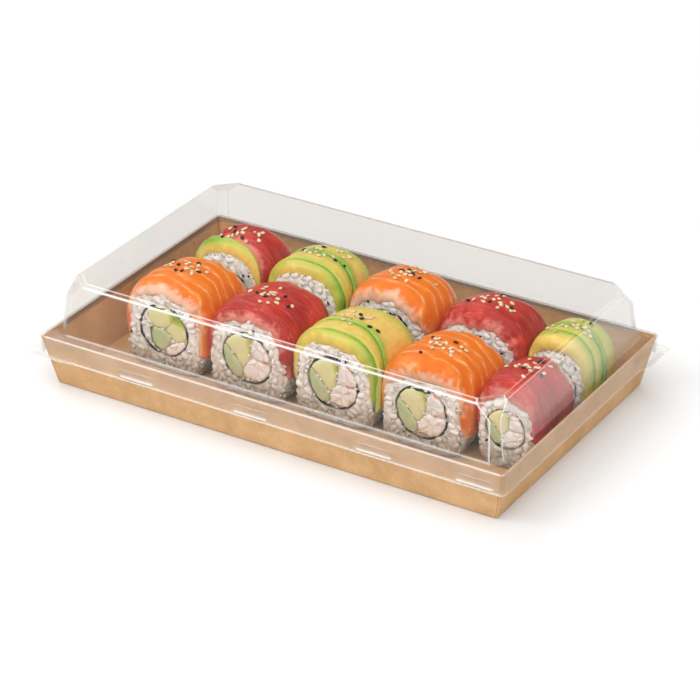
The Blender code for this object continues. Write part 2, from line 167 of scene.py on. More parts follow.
def end_fans(rings, sides):
    """Triangles from the two tips, stored after the rings, to the first and the last ring."""
    last = (rings - 1) * sides
    low, high = rings * sides, rings * sides + 1
    faces = []
    for j in range(sides):
        k = (j + 1) % sides
        faces += [(low, k, j), (high, last + j, last + k)]
    return faces


def joined(parts):
    """Points and faces of several parts, each given as its points and faces, as one."""
    faces, start = [], 0
    for points, part_faces in parts:
        faces += shifted(part_faces, start)
        start += len(points)
    return np.concatenate([points for points, _ in parts]), faces


RIPPLE_TERMS = 8


def ripple(points, size, seed):
    """Smooth uneven number from about -1 to 1 at each point; size is how far apart bumps are."""
    rng = np.random.default_rng(seed)
    ways = rng.normal(size=(RIPPLE_TERMS, 3))
    ways /= np.linalg.norm(ways, axis=1)[:, None]
    ways *= rng.uniform(0.7, 1.5, RIPPLE_TERMS)[:, None] * math.pi / size
    phases = rng.uniform(0.0, math.tau, RIPPLE_TERMS)
    return np.sin(np.asarray(points, float) @ ways.T + phases).sum(axis=1) / math.sqrt(RIPPLE_TERMS) / 1.4


def stacked(x, y, z):
    """Points, one to a row, from grids or lists of x, y and z; a single number serves for all of them."""
    return np.stack(np.broadcast_arrays(x, y, z), axis=-1).reshape(-1, 3)


def grid_ripple(x, y, z, size, seed):
    """Ripple at the points of a grid, in the grid's own shape."""
    return ripple(stacked(x, y, z), size, seed).reshape(x.shape)


def run_along(x, z):
    """How far along a line each of its points is."""
    return np.concatenate([[0.0], np.cumsum(np.hypot(np.diff(x), np.diff(z)))])


def fading(distance, reach):
    """1 at distance 0, falling evenly to 0 at reach."""
    return np.clip(1.0 - distance / reach, 0.0, 1.0)


def smoothstep(low, high, value):
    """0 below low, 1 above high and smooth between."""
    share = np.clip((np.asarray(value, float) - low) / (high - low), 0.0, 1.0)
    return share * share * (3.0 - 2.0 * share)


# ---------------------------------------------------------------- material helpers

class Shader:
    """Short ways to add nodes to one material."""

    def __init__(self, name):
        self.material = bpy.data.materials.new(name)
        self.material.use_nodes = True
        self.tree = self.material.node_tree
        self.bsdf = self.tree.nodes["Principled BSDF"]
        self.output = self.tree.nodes["Material Output"]

    def node(self, kind, **values):
        made = self.tree.nodes.new(kind)
        for key, value in values.items():
            setattr(made, key, value)
        return made

    def feed(self, socket, value):
        """Link an input to a socket, or set it to a value."""
        if isinstance(value, bpy.types.NodeSocket):
            self.tree.links.new(value, socket)
        else:
            socket.default_value = value

    def feed_colour(self, socket, colour):
        """Fill a colour input from a socket or from red, green and blue."""
        self.feed(socket, colour if isinstance(colour, bpy.types.NodeSocket) else (*colour, 1.0))

    def math(self, operation, *values):
        made = self.node("ShaderNodeMath", operation=operation)
        for socket, value in zip(made.inputs, values):
            self.feed(socket, value)
        return made.outputs[0]

    def plus(self, first, *others):
        """Sum of two or more values."""
        for other in others:
            first = self.math("ADD", first, other)
        return first

    def times(self, value, factor):
        return self.math("MULTIPLY", value, factor)

    def less(self, value, amount):
        return self.math("SUBTRACT", value, amount)

    def beyond(self, value, low, high):
        """1 below low, 0 above high and smooth between."""
        return self.less(1.0, self.step(value, low, high))

    def mix(self, share, first, second):
        """Colour from first to second; each is a socket or red, green and blue."""
        made = self.node("ShaderNodeMix", data_type="RGBA")
        self.feed(made.inputs[0], share)
        self.feed_colour(made.inputs[6], first)
        self.feed_colour(made.inputs[7], second)
        return made.outputs[2]

    def layer(self, under, share, low, high, amount, colour):
        """Colour laid over another where share passes from low to high, up to amount."""
        strength = self.step(share, low, high)
        return self.mix(strength if amount == 1.0 else self.times(strength, amount), under, colour)

    def step(self, value, low, high):
        """0 below low, 1 above high and smooth between."""
        made = self.node("ShaderNodeMapRange", interpolation_type="SMOOTHSTEP")
        self.feed(made.inputs[0], value)
        made.inputs[1].default_value = low
        made.inputs[2].default_value = high
        return made.outputs[0]

    def attribute(self, name, output="Fac"):
        return self.node("ShaderNodeAttribute", attribute_name=name).outputs[output]

    def split(self, vector):
        made = self.node("ShaderNodeSeparateXYZ")
        self.feed(made.inputs[0], vector)
        return made.outputs

    def uneven(self, value, noise, amount):
        """The value, made larger or smaller by a noise."""
        return self.plus(value, self.times(self.less(noise, 0.5), amount))

    def place(self):
        """Place in the row frame, in metres."""
        return self.node("ShaderNodeTexCoord").outputs["Object"]

    def filled(self, kind, output=0, setup=None, **values):
        """Node with the named inputs filled in: its output. setup holds the node's own settings."""
        made = self.node(kind, **(setup or {}))
        for name, value in values.items():
            self.feed(made.inputs[name], value)
        return made.outputs[output]

    def both(self, share, first, second):
        """Surface that is partly one surface and partly another."""
        made = self.node("ShaderNodeMixShader")
        for socket, value in zip(made.inputs, (share, first, second)):
            self.feed(socket, value)
        return made.outputs[0]

    def noise(self, scale, vector=None, detail=3.0, roughness=0.55, distortion=0.0):
        """Cloudy number, at places in metres or, given a vector, in what the vector counts."""
        return self.filled("ShaderNodeTexNoise", "Fac", Vector=vector or self.place(), Scale=scale,
                           Detail=detail, Roughness=roughness, Distortion=distortion)

    def stretched(self, x, y, z, vector=None):
        """Places, or a vector, with each direction counted larger by its own factor."""
        return self.filled("ShaderNodeMapping", Vector=vector or self.place(), Scale=(x, y, z))

    def lumps(self, scale, vector):
        """How far from the crease between two lumps."""
        return self.filled("ShaderNodeTexVoronoi", "Distance", {"feature": "DISTANCE_TO_EDGE"}, Vector=vector,
                           Scale=scale)

    def bump(self, height, distance_mm, strength):
        normal = self.filled("ShaderNodeBump", Strength=strength, Distance=distance_mm * MM, Height=height)
        self.feed(self.bsdf.inputs["Normal"], normal)

    def surface(self, colour, roughness, gloss, depth=None, soft=0.0, coat=0.0):
        """Finish the Principled shader; depth is the colour spread under the surface, in mm."""
        inputs = self.bsdf.inputs
        self.feed_colour(inputs["Base Color"], colour)
        inputs["Roughness"].default_value = roughness
        inputs["Specular IOR Level"].default_value = gloss
        if depth:
            inputs["Subsurface Weight"].default_value = soft
            inputs["Subsurface Radius"].default_value = depth
            inputs["Subsurface Scale"].default_value = MM
        if coat:
            inputs["Coat Weight"].default_value = coat
            inputs["Coat Roughness"].default_value = 0.18
        return self.material


# ---------------------------------------------------------------- materials

def kraft_material():
    """Unbleached board: cloudy brown with short pale and dark fibres."""
    shader = Shader("kraft_board_face")
    fibres = shader.noise(1.0, shader.stretched(420, 1500, 420), detail=5.0, roughness=0.75)
    flecks = shader.noise(1.0, shader.stretched(1500, 420, 1500), detail=5.0, roughness=0.75)
    clouds = shader.noise(60.0, detail=4.0, roughness=0.65)
    base = shader.mix(shader.step(clouds, 0.30, 0.70), (0.530, 0.310, 0.140), (0.655, 0.405, 0.205))
    base = shader.layer(base, flecks, 0.54, 0.70, 0.45, (0.34, 0.18, 0.075))
    base = shader.layer(base, fibres, 0.54, 0.72, 0.45, (0.78, 0.56, 0.34))
    shader.bump(shader.plus(fibres, flecks), 0.08, 0.6)
    return shader.surface(base, 0.82, gloss=0.25)


def thin_edge(shader, flesh, lay, low, high, amount, colour):
    """A fish slice's paler, patchy border where the slice thins out."""
    patches = shader.noise(0.5, lay, detail=4.0)
    edge = shader.plus(shader.attribute("thin"), shader.times(patches, 1.1))
    return shader.layer(flesh, edge, low, high, amount, colour)


SALMON_BAND = 6.6              # from one pale band to the next, in mm along the slice
SALMON_SLANT = 0.42            # mm that a band comes forward per mm down a flank
SALMON_CREST = 20.0            # how gently the bands turn over at the crest


def salmon_material():
    """Orange flesh with thin pale bands that curve down both flanks."""
    shader = Shader("salmon_flesh")
    lay = shader.attribute("lay", "Vector")
    across, along, seed = shader.split(lay)
    wander = shader.noise(0.11, lay, detail=2.0)
    ragged = shader.noise(0.55, lay, detail=3.0)
    off_crest = shader.math("SQRT", shader.plus(shader.times(across, across), SALMON_CREST))
    phase = shader.plus(along, shader.times(off_crest, SALMON_SLANT), shader.times(wander, 11.0),
                        shader.times(ragged, 0.6), seed)
    band = shader.math("FRACT", shader.math("DIVIDE", phase, SALMON_BAND))
    off_line = shader.math("ABSOLUTE", shader.less(band, 0.5))
    line = shader.beyond(off_line, 0.010, 0.135)
    halo = shader.beyond(off_line, 0.05, 0.36)
    strength = shader.times(line, shader.step(shader.noise(0.42, lay, detail=3.0), 0.34, 0.68))
    flesh = shader.mix(shader.noise(0.30, lay), (0.80, 0.145, 0.002), (0.90, 0.225, 0.004))
    flesh = shader.mix(shader.times(halo, 0.40), flesh, (0.94, 0.33, 0.045))
    flesh = shader.mix(shader.times(strength, 0.70), flesh, (0.98, 0.60, 0.33))
    flesh = thin_edge(shader, flesh, lay, 0.72, 1.20, 0.82, (0.93, 0.62, 0.48))
    shader.bump(shader.plus(shader.times(line, -0.5), shader.times(ragged, 0.5)), 0.20, 0.6)
    return shader.surface(flesh, 0.38, gloss=0.25, depth=(2.0, 0.6, 0.15), soft=0.12)


def tuna_material():
    """Deep red flesh with fine, slightly paler grain."""
    shader = Shader("tuna_flesh")
    lay = shader.attribute("lay", "Vector")
    grain = shader.noise(1.0, shader.stretched(0.10, 1.3, 1.0, lay), detail=4.0, distortion=0.5)
    cloud = shader.noise(0.10, lay, detail=3.0)
    sinew = shader.noise(1.0, shader.stretched(0.06, 0.42, 1.0, lay), detail=1.0, distortion=1.2)
    line = shader.beyond(shader.math("ABSOLUTE", shader.less(sinew, 0.5)), 0.004, 0.030)
    flesh = shader.mix(shader.step(cloud, 0.35, 0.65), (0.40, 0.012, 0.008), (0.60, 0.035, 0.018))
    flesh = shader.layer(flesh, grain, 0.5, 0.75, 0.28, (0.72, 0.13, 0.075))
    flesh = shader.mix(shader.times(line, 0.30), flesh, (0.78, 0.26, 0.22))
    flesh = thin_edge(shader, flesh, lay, 0.85, 1.35, 0.75, (0.84, 0.33, 0.27))
    shader.bump(grain, 0.15, 0.4)
    return shader.surface(flesh, 0.36, gloss=0.28, depth=(2.2, 0.3, 0.2), soft=0.12)


def avocado_material(name, pale, golden):
    """Yellow flesh that turns green towards the skin side, by the piece's own rim number."""
    shader = Shader(name)
    lay = shader.attribute("lay", "Vector")
    rim = shader.uneven(shader.attribute("rim"), shader.noise(0.22, lay, detail=3.0), 0.45)
    streaks = shader.noise(1.0, shader.stretched(0.9, 0.16, 1.0, lay), detail=3.0)
    flesh = shader.mix(shader.step(streaks, 0.15, 0.85), golden, pale)
    flesh = shader.layer(flesh, rim, 0.08, 0.45, 1.0, (0.54, 0.57, 0.075))
    flesh = shader.layer(flesh, rim, 0.40, 0.80, 1.0, (0.20, 0.40, 0.016))
    flesh = shader.layer(flesh, rim, 0.82, 1.05, 1.0, (0.040, 0.13, 0.006))
    # painted highlight: a bright green line along each raised slice edge, partly the bright flesh under the
    # skin
    flesh = shader.mix(shader.times(shader.attribute("glow"), 0.85), flesh, (0.38, 0.60, 0.13))
    shader.bump(streaks, 0.10, 0.5)
    return shader.surface(flesh, 0.34, gloss=0.45, depth=(1.4, 1.0, 0.2), soft=0.12, coat=0.08)


def rice_material():
    """Off-white grains that take on the topping's colour where it touches them, with painted shade where
    little light comes.
    """
    shader = Shader("rice_grain")
    base = shader.mix(shader.noise(300.0, detail=3.0), (0.92, 0.90, 0.88), (0.975, 0.96, 0.94))
    base = shader.layer(base, shader.noise(150.0, detail=2.0), 0.5, 0.7, 0.25, (0.88, 0.83, 0.85))
    # the topping's stains, and painted shade near the tray's floor
    base = shader.mix(shader.attribute("stain_and_shade_amount"), base, shader.attribute("stain_and_shade_colour", "Color"))
    return shader.surface(base, 0.58, gloss=0.12, depth=(1.6, 1.4, 1.2), soft=0.25)


def nori_material():
    """Nearly black green sheet with a fine rough grain."""
    shader = Shader("nori_sheet")
    mottle = shader.noise(700.0, detail=4.0)
    base = shader.mix(mottle, (0.006, 0.009, 0.005), (0.022, 0.030, 0.014))
    shader.bump(mottle, 0.12, 0.7)
    return shader.surface(base, 0.5, gloss=0.4)


def cucumber_material():
    """Pale wet flesh with a dark green skin along the rim."""
    shader = Shader("cucumber_flesh")
    rim = shader.attribute("rim")
    mottle = shader.noise(420.0, detail=4.0)
    base = shader.mix(mottle, (0.44, 0.55, 0.27), (0.62, 0.69, 0.45))
    base = shader.layer(base, shader.noise(170.0, detail=2.0), 0.45, 0.7, 0.5, (0.68, 0.72, 0.50))
    base = shader.layer(base, rim, 0.20, 0.62, 1.0, (0.20, 0.34, 0.08))
    base = shader.layer(base, rim, 0.60, 0.80, 1.0, (0.015, 0.050, 0.010))
    shader.bump(mottle, 0.15, 0.5)
    return shader.surface(base, 0.33, gloss=0.45, depth=(1.4, 1.4, 0.8), soft=0.2)


def crab_material():
    """White flesh in soft lumps, pink in the creases and red along the outside."""
    shader = Shader("crab_flesh")
    rim = shader.uneven(shader.attribute("rim"), shader.noise(260.0, detail=3.0), 0.5)
    crease = shader.beyond(shader.lumps(150.0, shader.stretched(1.0, 0.15, 1.0)), 0.00, 0.07)
    fibre = shader.noise(650.0, detail=4.0, distortion=0.8)
    base = shader.mix(fibre, (0.90, 0.86, 0.83), (0.97, 0.95, 0.93))
    base = shader.mix(shader.times(crease, 0.26), base, (0.84, 0.42, 0.34))
    base = shader.layer(base, rim, 0.62, 0.95, 1.0, (0.88, 0.42, 0.32))
    shader.bump(shader.less(fibre, crease), 0.35, 0.6)
    return shader.surface(base, 0.42, gloss=0.4, depth=(1.8, 1.2, 1.0), soft=0.3)


def seed_material(name, dark, pale, roughness):
    """Matt seed, dark and pale in a fine mottle."""
    shader = Shader(name)
    mottle = shader.noise(900.0, detail=2.0)
    shader.bump(mottle, 0.05, 0.4)
    return shader.surface(shader.mix(mottle, dark, pale), roughness, gloss=0.3)


LID_HAZE = 0.012               # share of light that the film mirrors when seen face on
LID_MIRROR = 0.60              # what is added to it when seen edge on


def lid_material():
    """Clear sheet: what is behind shows through unbent, under a mirror-like film; a white matt coat paints
    highlights and reflected haze at folds, edges, snaps and walls, partly the sheet's own whitening at folds.
    """
    shader = Shader("clear_sheet_film")
    shader.tree.nodes.remove(shader.bsdf)
    facing = shader.node("ShaderNodeLayerWeight").outputs["Facing"]
    tint = shader.mix(shader.math("POWER", facing, 6.0), (0.958, 0.951, 0.941), (0.76, 0.75, 0.735))
    clear = shader.filled("ShaderNodeBsdfTransparent", Color=tint)
    waves = shader.noise(45.0, detail=1.0)
    bump = shader.filled("ShaderNodeBump", Strength=0.05, Distance=0.2 * MM, Height=waves)
    film = shader.filled("ShaderNodeBsdfGlossy", Color=(1.0, 1.0, 1.0, 1.0), Roughness=0.05, Normal=bump)
    # white matt coat that stands in for painted highlights and reflected haze
    glint_milk = shader.filled("ShaderNodeBsdfDiffuse", Color=(0.90, 0.89, 0.87, 1.0))
    mirror = shader.plus(shader.times(shader.math("POWER", facing, 5.0), LID_MIRROR), LID_HAZE)
    sheet = shader.both(mirror, clear, film)
    shader.feed(shader.output.inputs["Surface"], shader.both(shader.attribute("painted_glint_milk"), sheet, glint_milk))
    return shader.material


def floor_material():
    """Matt grey-white table."""
    return Shader("floor_paint").surface((FLOOR_SHADE, FLOOR_SHADE, FLOOR_SHADE), 0.9, gloss=0.1)


MATERIALS = {
    "kraft_board": kraft_material(),
    "salmon": salmon_material(),
    "tuna": tuna_material(),
    "avocado": avocado_material("avocado_flesh", (0.92, 0.71, 0.20), (0.82, 0.53, 0.085)),
    "avocado_heart": avocado_material("avocado_heart", (0.88, 0.86, 0.54), (0.80, 0.79, 0.38)),
    "rice": rice_material(),
    "nori": nori_material(),
    "cucumber": cucumber_material(),
    "crab": crab_material(),
    "clear_sheet": lid_material(),
    "sesame_pale": seed_material("sesame_pale_seed", (0.74, 0.56, 0.32), (0.92, 0.80, 0.58), 0.45),
    "sesame_black": seed_material("sesame_black_seed", (0.006, 0.005, 0.005), (0.022, 0.017, 0.015), 0.5),
}


# ---------------------------------------------------------------- one roll's shape

def cad_corners(node):
    """Low and high corner of a CAD node's box, in millimetres."""
    return (np.array(corner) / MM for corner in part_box(node))


class Roll:
    """Outline and places of one roll, from the boxes of its CAD nodes."""

    def __init__(self, name):
        self.name = name
        self.topping = TOPPINGS[name]
        self.seed = sorted(TOPPINGS).index(name) + 1
        low, high = cad_corners(f"{name}_rice")
        self.front, self.back = low[1], high[1]
        self.x = (low[0] + high[0]) / 2
        self.half = (high[0] - low[0]) / 2
        self.floor, self.top = low[2], high[2]
        self.middle_z = self.floor + (self.top - self.floor) * MIDDLE_SHARE
        # the front rolls' fillings are nodes of their own; behind them, one core stands for nori and fillings
        self.opened = name.startswith("front")
        self.core = f"{name}_nori" if self.opened else f"{name}_core"
        low, high = cad_corners(self.core)
        self.core_x, _, self.core_z = (low + high) / 2
        self.core_half = tuple((high - low)[[0, 2]] / 2)
        self.scale = self.core_half[0] / FULL_CORE_HALF
        self.left_drop, self.right_drop = DROPS[name]
        self.depth = self.back - self.front
        self.round = FACE_ROUND * self.scale
        self.back_round = BACK_ROUND * self.scale

    def wrap(self, run, offset):
        """y, and growth of the outline, for places that lie offset above the rice.

        run is y along the middle of the roll, and past a rounded edge it goes on down the cut face.
        """
        to_front, to_back = self.front + self.round - run, run - self.back + self.back_round
        at_front = to_front > to_back
        past = np.maximum(to_front, to_back)
        sign = np.where(at_front, -1.0, 1.0)
        face = np.where(at_front, self.front, self.back)
        radius = np.where(at_front, self.round, self.back_round)
        turn = np.clip(past / radius, 0.0, math.pi / 2)
        down = np.maximum(past - radius * math.pi / 2, 0.0)
        y = np.where(past > 0, face - sign * radius + sign * (radius + offset) * np.sin(turn), run)
        return y, np.where(past > 0, (radius + offset) * np.cos(turn) - radius - down, offset)

    def droop(self, points):
        """Points let down a little towards the back of the roll."""
        points = np.array(points, float)
        share = np.clip((points[..., 1] - self.front) / self.depth, 0.0, 1.0)
        points[..., 2] = self.floor + (points[..., 2] - self.floor) * (1.0 - DROOP * share ** 2)
        return points

    def outline(self, degrees, grow):
        """Points of the rice outline grown outwards; 0 degrees is the right side, 90 the crest."""
        angle = np.radians(degrees)
        sine, cosine = np.sin(angle), np.cos(angle)
        power = np.where(sine >= 0, TOP_POWER, BOTTOM_POWER)
        rise = np.where(sine >= 0, self.top - self.middle_z + grow, self.middle_z - self.floor)
        x = (self.half + grow) * np.sign(cosine) * np.abs(cosine) ** power
        z = self.middle_z + rise * np.sign(sine) * np.abs(sine) ** power
        return self.x + x, np.maximum(z, self.floor)

    def inside(self, x, z, grow):
        """Whether a place on a cut face lies within the outline grown by grow."""
        across = abs(x - self.x) / (self.half + grow)
        upper = z >= self.middle_z
        rise = (self.top - self.middle_z if upper else self.middle_z - self.floor) + grow
        power = TOP_POWER if upper else BOTTOM_POWER
        up = abs(z - self.middle_z) / rise
        return bool(across ** (2.0 / power) + up ** (2.0 / power) < 1.0)

    def in_rice_ring(self, x, z, margin, nori_margin):
        """Whether a place on a cut face lies in the rice, clear of the outline and of the nori."""
        return self.inside(x, z, -margin) and self.beyond_nori(x, z, nori_margin)

    def beyond_nori(self, x, z, grow):
        """Whether a place on a cut face lies outside the nori's oval grown by grow."""
        across = (x - self.core_x) / (self.core_half[0] + grow)
        up = (z - self.core_z) / (self.core_half[1] + grow)
        return bool(across ** 2 + up ** 2 > 1.0)


# ---------------------------------------------------------------- toppings

TOPPING_COLUMNS = 78
TOPPING_ROWS = 56
END_PULL = 2.6                 # how far a topping's front edge stays back at its two ends, in mm
END_PULL_RUN = 7.0             # over what length
CREST_REACH = 1.35             # half a topping's length across, as a share of the roll's half width
ROLL_SHIFT = 2.3               # how far the patterns of two rolls lie apart


def close_degrees(first, last):
    """Angles from first to last, close together where the sides turn down fast, at 0 and 180 degrees."""
    near = np.linspace(-2.0, 2.0, 61) ** 3
    angles = np.concatenate([np.linspace(first, last, 120), near, 180.0 + near])
    return np.unique(angles[(angles >= first) & (angles <= last)])


def across_topping(roll):
    """Columns spread evenly across a topping: the angle of each, and its length from the right end."""
    degrees = close_degrees(-roll.right_drop, 180.0 + roll.left_drop)
    length = run_along(*roll.outline(degrees, 0.0))
    even = np.linspace(0.0, length[-1], TOPPING_COLUMNS)
    return np.interp(even, length, degrees), even


def topping_edges(roll, seed, ragged):
    """Front and back edge of a topping, and the share of its turn, from its right end to its left."""
    degrees, length = across_topping(roll)
    share = (degrees + roll.right_drop) / (180.0 + roll.left_drop + roll.right_drop)
    line = stacked(0.8 * length, 0.0, 0.0)
    to_end = np.minimum(length, length[-1] - length)
    hang = HANGS[roll.name] * np.sin(np.pi * share) ** 2

    def uneven(number):
        return ragged * (0.5 * ripple(line, 8.0, number) + 0.3 * ripple(line, 2.6, number + 1))

    front = roll.front + roll.round * (1.0 - EDGE_TURN) - hang + uneven(seed)
    front += END_PULL * (1.0 - smoothstep(0.0, END_PULL_RUN, to_end))
    back = roll.back - roll.back_round * (1.0 - EDGE_TURN) - uneven(seed + 2)
    return share, front, back


def drape(roll, front, back, thick_top, thick_side, seed, relief, taper, lift=np.zeros_like):
    """Slab laid over the roll between two edge lines; lift gives how far it is raised at each y, in mm.

    Its points and faces come with two numbers for each point: lay (mm across from the crest, mm along,
    the roll's shift) and thin, how close it is to a thin edge. grid is for finding places on its top.
    """
    degrees, length = across_topping(roll)
    turn = 180.0 + roll.left_drop + roll.right_drop
    share, along = np.meshgrid((degrees + roll.right_drop) / turn, np.linspace(0.0, 1.0, TOPPING_ROWS))
    length = np.tile(length, (TOPPING_ROWS, 1))
    full = length[0, -1]
    width = np.tile(back - front, (TOPPING_ROWS, 1))
    run = front + width * along
    from_edge = np.minimum(along, 1.0 - along) * width
    from_end = np.minimum(length, full - length)

    # the two ends come out uneven
    at_left, at_right = smoothstep(0.75, 1.0, share), 1.0 - smoothstep(0.0, 0.25, share)
    uneven = 0.45 * grid_ripple(along * 9.0 + share, 0.0, 0.0, 2.6, seed + 5)
    degrees = turn * share - roll.right_drop
    degrees += uneven * (roll.left_drop * at_left - roll.right_drop * at_right)
    swell = np.clip(np.sin(np.radians(degrees)), 0.0, 1.0)

    # thick over the crest, thin at the edges, the ends and the back, with the edges tucked down to the rice
    thick = thick_side + (thick_top - thick_side) * swell
    thick = thick * (0.12 + 0.88 * smoothstep(0.0, taper, from_edge))
    thick = thick * (0.25 + 0.75 * np.sqrt(np.clip(from_end / 5.0, 0.0, 1.0)))
    thick *= 1.0 - 0.5 * np.clip((run - roll.front) / roll.depth - 0.35, 0.0, 0.65) / 0.65
    seat = TOPPING_GAP - 0.75 * fading(from_edge, 2.4) ** 2
    crown = 0.7 * swell * (1.0 - (2.0 * along - 1.0) ** 2)

    # soft bumps all over, small ones near the front and back edge
    x, z = roll.outline(degrees, seat)
    bumps = relief * grid_ripple(x, run, z, 5.0, seed + 7) * np.clip(from_edge / 3.0, 0.0, 1.0)
    bumps += 0.22 * grid_ripple(x, run, z, 2.2, seed + 8) * np.clip(1.3 - from_edge / taper, 0.0, 1.0)
    raised = lift(run)
    y, grow = roll.wrap(run, seat + thick + crown + bumps + raised)
    inner_y, inner_grow = roll.wrap(run, seat + np.minimum(raised * 0.6, thick * 0.5))
    faces_xz = (roll.outline(degrees, grow), roll.outline(degrees, inner_grow))
    points = [stacked(x, faces_y, z) for (x, z), faces_y in zip(faces_xz, (y, inner_y))]

    across = (0.5 - length / full) * 2.0 * roll.half * CREST_REACH
    lay = stacked(across, run - roll.front, ROLL_SHIFT * roll.seed)
    thin = fading(from_edge, 0.8 * taper) * (0.35 + 0.65 * swell)
    thin = np.maximum(thin, fading(from_end, 3.0) * 0.7).ravel()
    return {
        "points": np.concatenate(points), "faces": sheet_faces(TOPPING_ROWS, TOPPING_COLUMNS),
        "lay": np.concatenate([lay, lay]), "thin": np.concatenate([thin, thin]), "grid": (degrees, y, grow),
    }


def topping_piece(roll, name, slabs, kind, numbers, node="topping"):
    """One piece from slabs that lie over each other, with the numbers that its colours come from."""
    points, faces = joined([(slab["points"], slab["faces"]) for slab in slabs])
    piece = make_piece(f"{roll.name}_{name}", roll.droop(points), faces, MATERIALS[kind],
                       [f"{roll.name}_{node}"])
    for key in numbers:
        set_numbers(piece, key, np.concatenate([slab[key] for slab in slabs]))
    return slabs


def fish_topping(roll):
    """Slice of salmon or tuna; on back1 it starts where the avocado ends."""
    share, front, back = topping_edges(roll, seed=roll.seed * 31, ragged=2.8)
    if roll.name == "back1":
        front = back1_seam(roll, share) + 0.2
    slab = drape(roll, front, back, thick_top=3.4, thick_side=1.7, seed=roll.seed * 17, relief=0.28,
                 taper=7.5)
    slab["lay"][:, 0] += 5.0
    return topping_piece(roll, f"{roll.topping}_slice", [slab], roll.topping, ("lay", "thin"))


def back1_seam(roll, share):
    """Where the avocado slice on back1 ends and the tuna starts, for a share from right to left."""
    return roll.front + 9.0 + 14.0 * (share - 0.5)


# Seams between overlapping avocado slices: how far each is behind the front edge, in mm, at the
# right end, at the crest and at the left end; and how green the whole topping is
AVOCADO_SEAMS = {
    "front3": ((1.5, 4.2, 3.4), (4.5, 14.0, 13.0)),
    "back2": ((2.5, 5.0, 2.5), (9.0, 15.5, 17.0)),
    "back5": ((5.0, 7.5, 6.0), (12.0, 14.5, 14.0)),
}
AVOCADO_GREEN = {"front3": 0.02, "back2": 0.10, "back5": 0.14}
OVERLAP = 3.5                  # how far a slice reaches under the next one, in mm


def seam_line(roll, share, seam):
    """y of a seam for each share of the turn."""
    right, crest, left = seam
    bend = np.where(share < 0.5, right + (crest - right) * smoothstep(0.0, 0.5, share),
                    crest + (left - crest) * smoothstep(0.5, 1.0, share))
    return roll.front + 0.8 + bend


def slab_row(line, roll):
    """One number for each column, repeated for every point of a slab's outer and inner face."""
    return np.tile(line - roll.front, 2 * TOPPING_ROWS)


def avocado_topping(roll):
    """Slices that lie over each other like tiles, each green along its edges."""
    share, front, back = topping_edges(roll, seed=roll.seed * 31, ragged=0.9)
    seams = [seam_line(roll, share, seam) for seam in AVOCADO_SEAMS[roll.name]]
    stops = [np.minimum(seam + OVERLAP, back - 0.5) for seam in seams] + [back]
    slabs = []
    for number, (start, stop) in enumerate(zip([front] + seams, stops)):
        start = np.minimum(start, stop - 1.0)
        last = number == len(seams)

        def lift(y, start=start, number=number):
            """Every slice but the first is raised where it starts, on top of the one before."""
            return (number > 0) * (0.7 + 0.5 * number) * np.exp(-np.clip(y - start, 0.0, None) / 5.0)

        slab = drape(roll, start, stop, thick_top=2.6, thick_side=1.6, seed=roll.seed * 17 + number * 3,
                     relief=0.15, taper=1.2 if number else 4.0, lift=lift)
        across, along = slab["lay"][:, 0], slab["lay"][:, 1]
        from_start = np.clip(along - slab_row(start, roll), 0.0, None)
        to_end = np.clip(slab_row(stop if last else stop - OVERLAP, roll) - along, 0.0, None)
        lean = 0.45 + 0.55 * smoothstep(-25.0, 10.0, across)
        rim = 0.90 * np.exp(-to_end / 4.2) if last else 0.80 * np.exp(-to_end / 2.6) * lean
        slab["glow"] = np.zeros(len(along))
        if number:
            slab["thin"] *= 0.0
            behind = 0.75 if last else 0.35
            rim = np.maximum(rim, behind * np.exp(-np.clip(from_start - 0.7, 0.0, None) / 3.0) * lean)
            rim = np.maximum(rim, 1.08 * np.exp(-from_start / 0.22))
            # painted highlight along the raised front edge of each slice, partly the bright flesh under the
            # skin
            slab["glow"] = (0.95 if last else 0.7) * np.exp(-((from_start - 0.5) / 0.34) ** 2)
        slab["rim"] = np.clip(rim + AVOCADO_GREEN[roll.name], 0.0, 1.1)
        slabs.append(slab)
    return topping_piece(roll, "avocado_slices", slabs, "avocado", ("lay", "thin", "rim", "glow"))


def back1_avocado(roll):
    """The slice over back1's front: green on its left and top, yellow along its front edge."""
    share, front, _ = topping_edges(roll, seed=77, ragged=0.7)
    slab = drape(roll, front, back1_seam(roll, share), thick_top=3.2, thick_side=1.7, seed=78, relief=0.15,
                 taper=4.0)
    from_front = slab["lay"][:, 1] - slab_row(front, roll)
    left = smoothstep(10.0, -14.0, slab["lay"][:, 0])
    slab["lay"][:, 2] = 0.0
    slab["rim"] = 0.82 * smoothstep(0.6, 3.4, from_front) * (0.50 + 0.50 * left)
    slab["glow"] = np.zeros(len(left))
    return topping_piece(roll, "avocado_piece", [slab], "avocado", ("lay", "rim", "glow"), "avocado_slice")


# ---------------------------------------------------------------- rice

GRAIN_RINGS = 6
GRAIN_SIDES = 8
GRAIN_HEIGHT = 0.88            # a grain's thickness, as a share of its width


def tapered(stations, sides):
    """Closed shape round the x axis from (x, radius) stations between its tips at -0.5 and 0.5."""
    points = [(x, r * math.cos(math.tau * j / sides), r * math.sin(math.tau * j / sides))
              for x, r in stations for j in range(sides)]
    points += [(-0.5, 0.0, 0.0), (0.5, 0.0, 0.0)]
    faces = flipped(grid_faces(len(stations), sides, wrap_columns=True)) + end_fans(len(stations), sides)
    return np.array(points), faces


def grain_template():
    """One plump grain along x, 1 long and 1 thick."""
    angles = [math.pi * i / GRAIN_RINGS for i in range(1, GRAIN_RINGS)]
    return tapered([(-0.5 * math.cos(angle), 0.5 * math.sin(angle) ** 0.6) for angle in angles], GRAIN_SIDES)


GRAIN_POINTS, GRAIN_FACES = grain_template()


def laid(local, place, way, side, up):
    """Points of a small shape, put at a place along three directions."""
    return place + local[:, :1] * way + local[:, 1:2] * side + local[:, 2:] * up


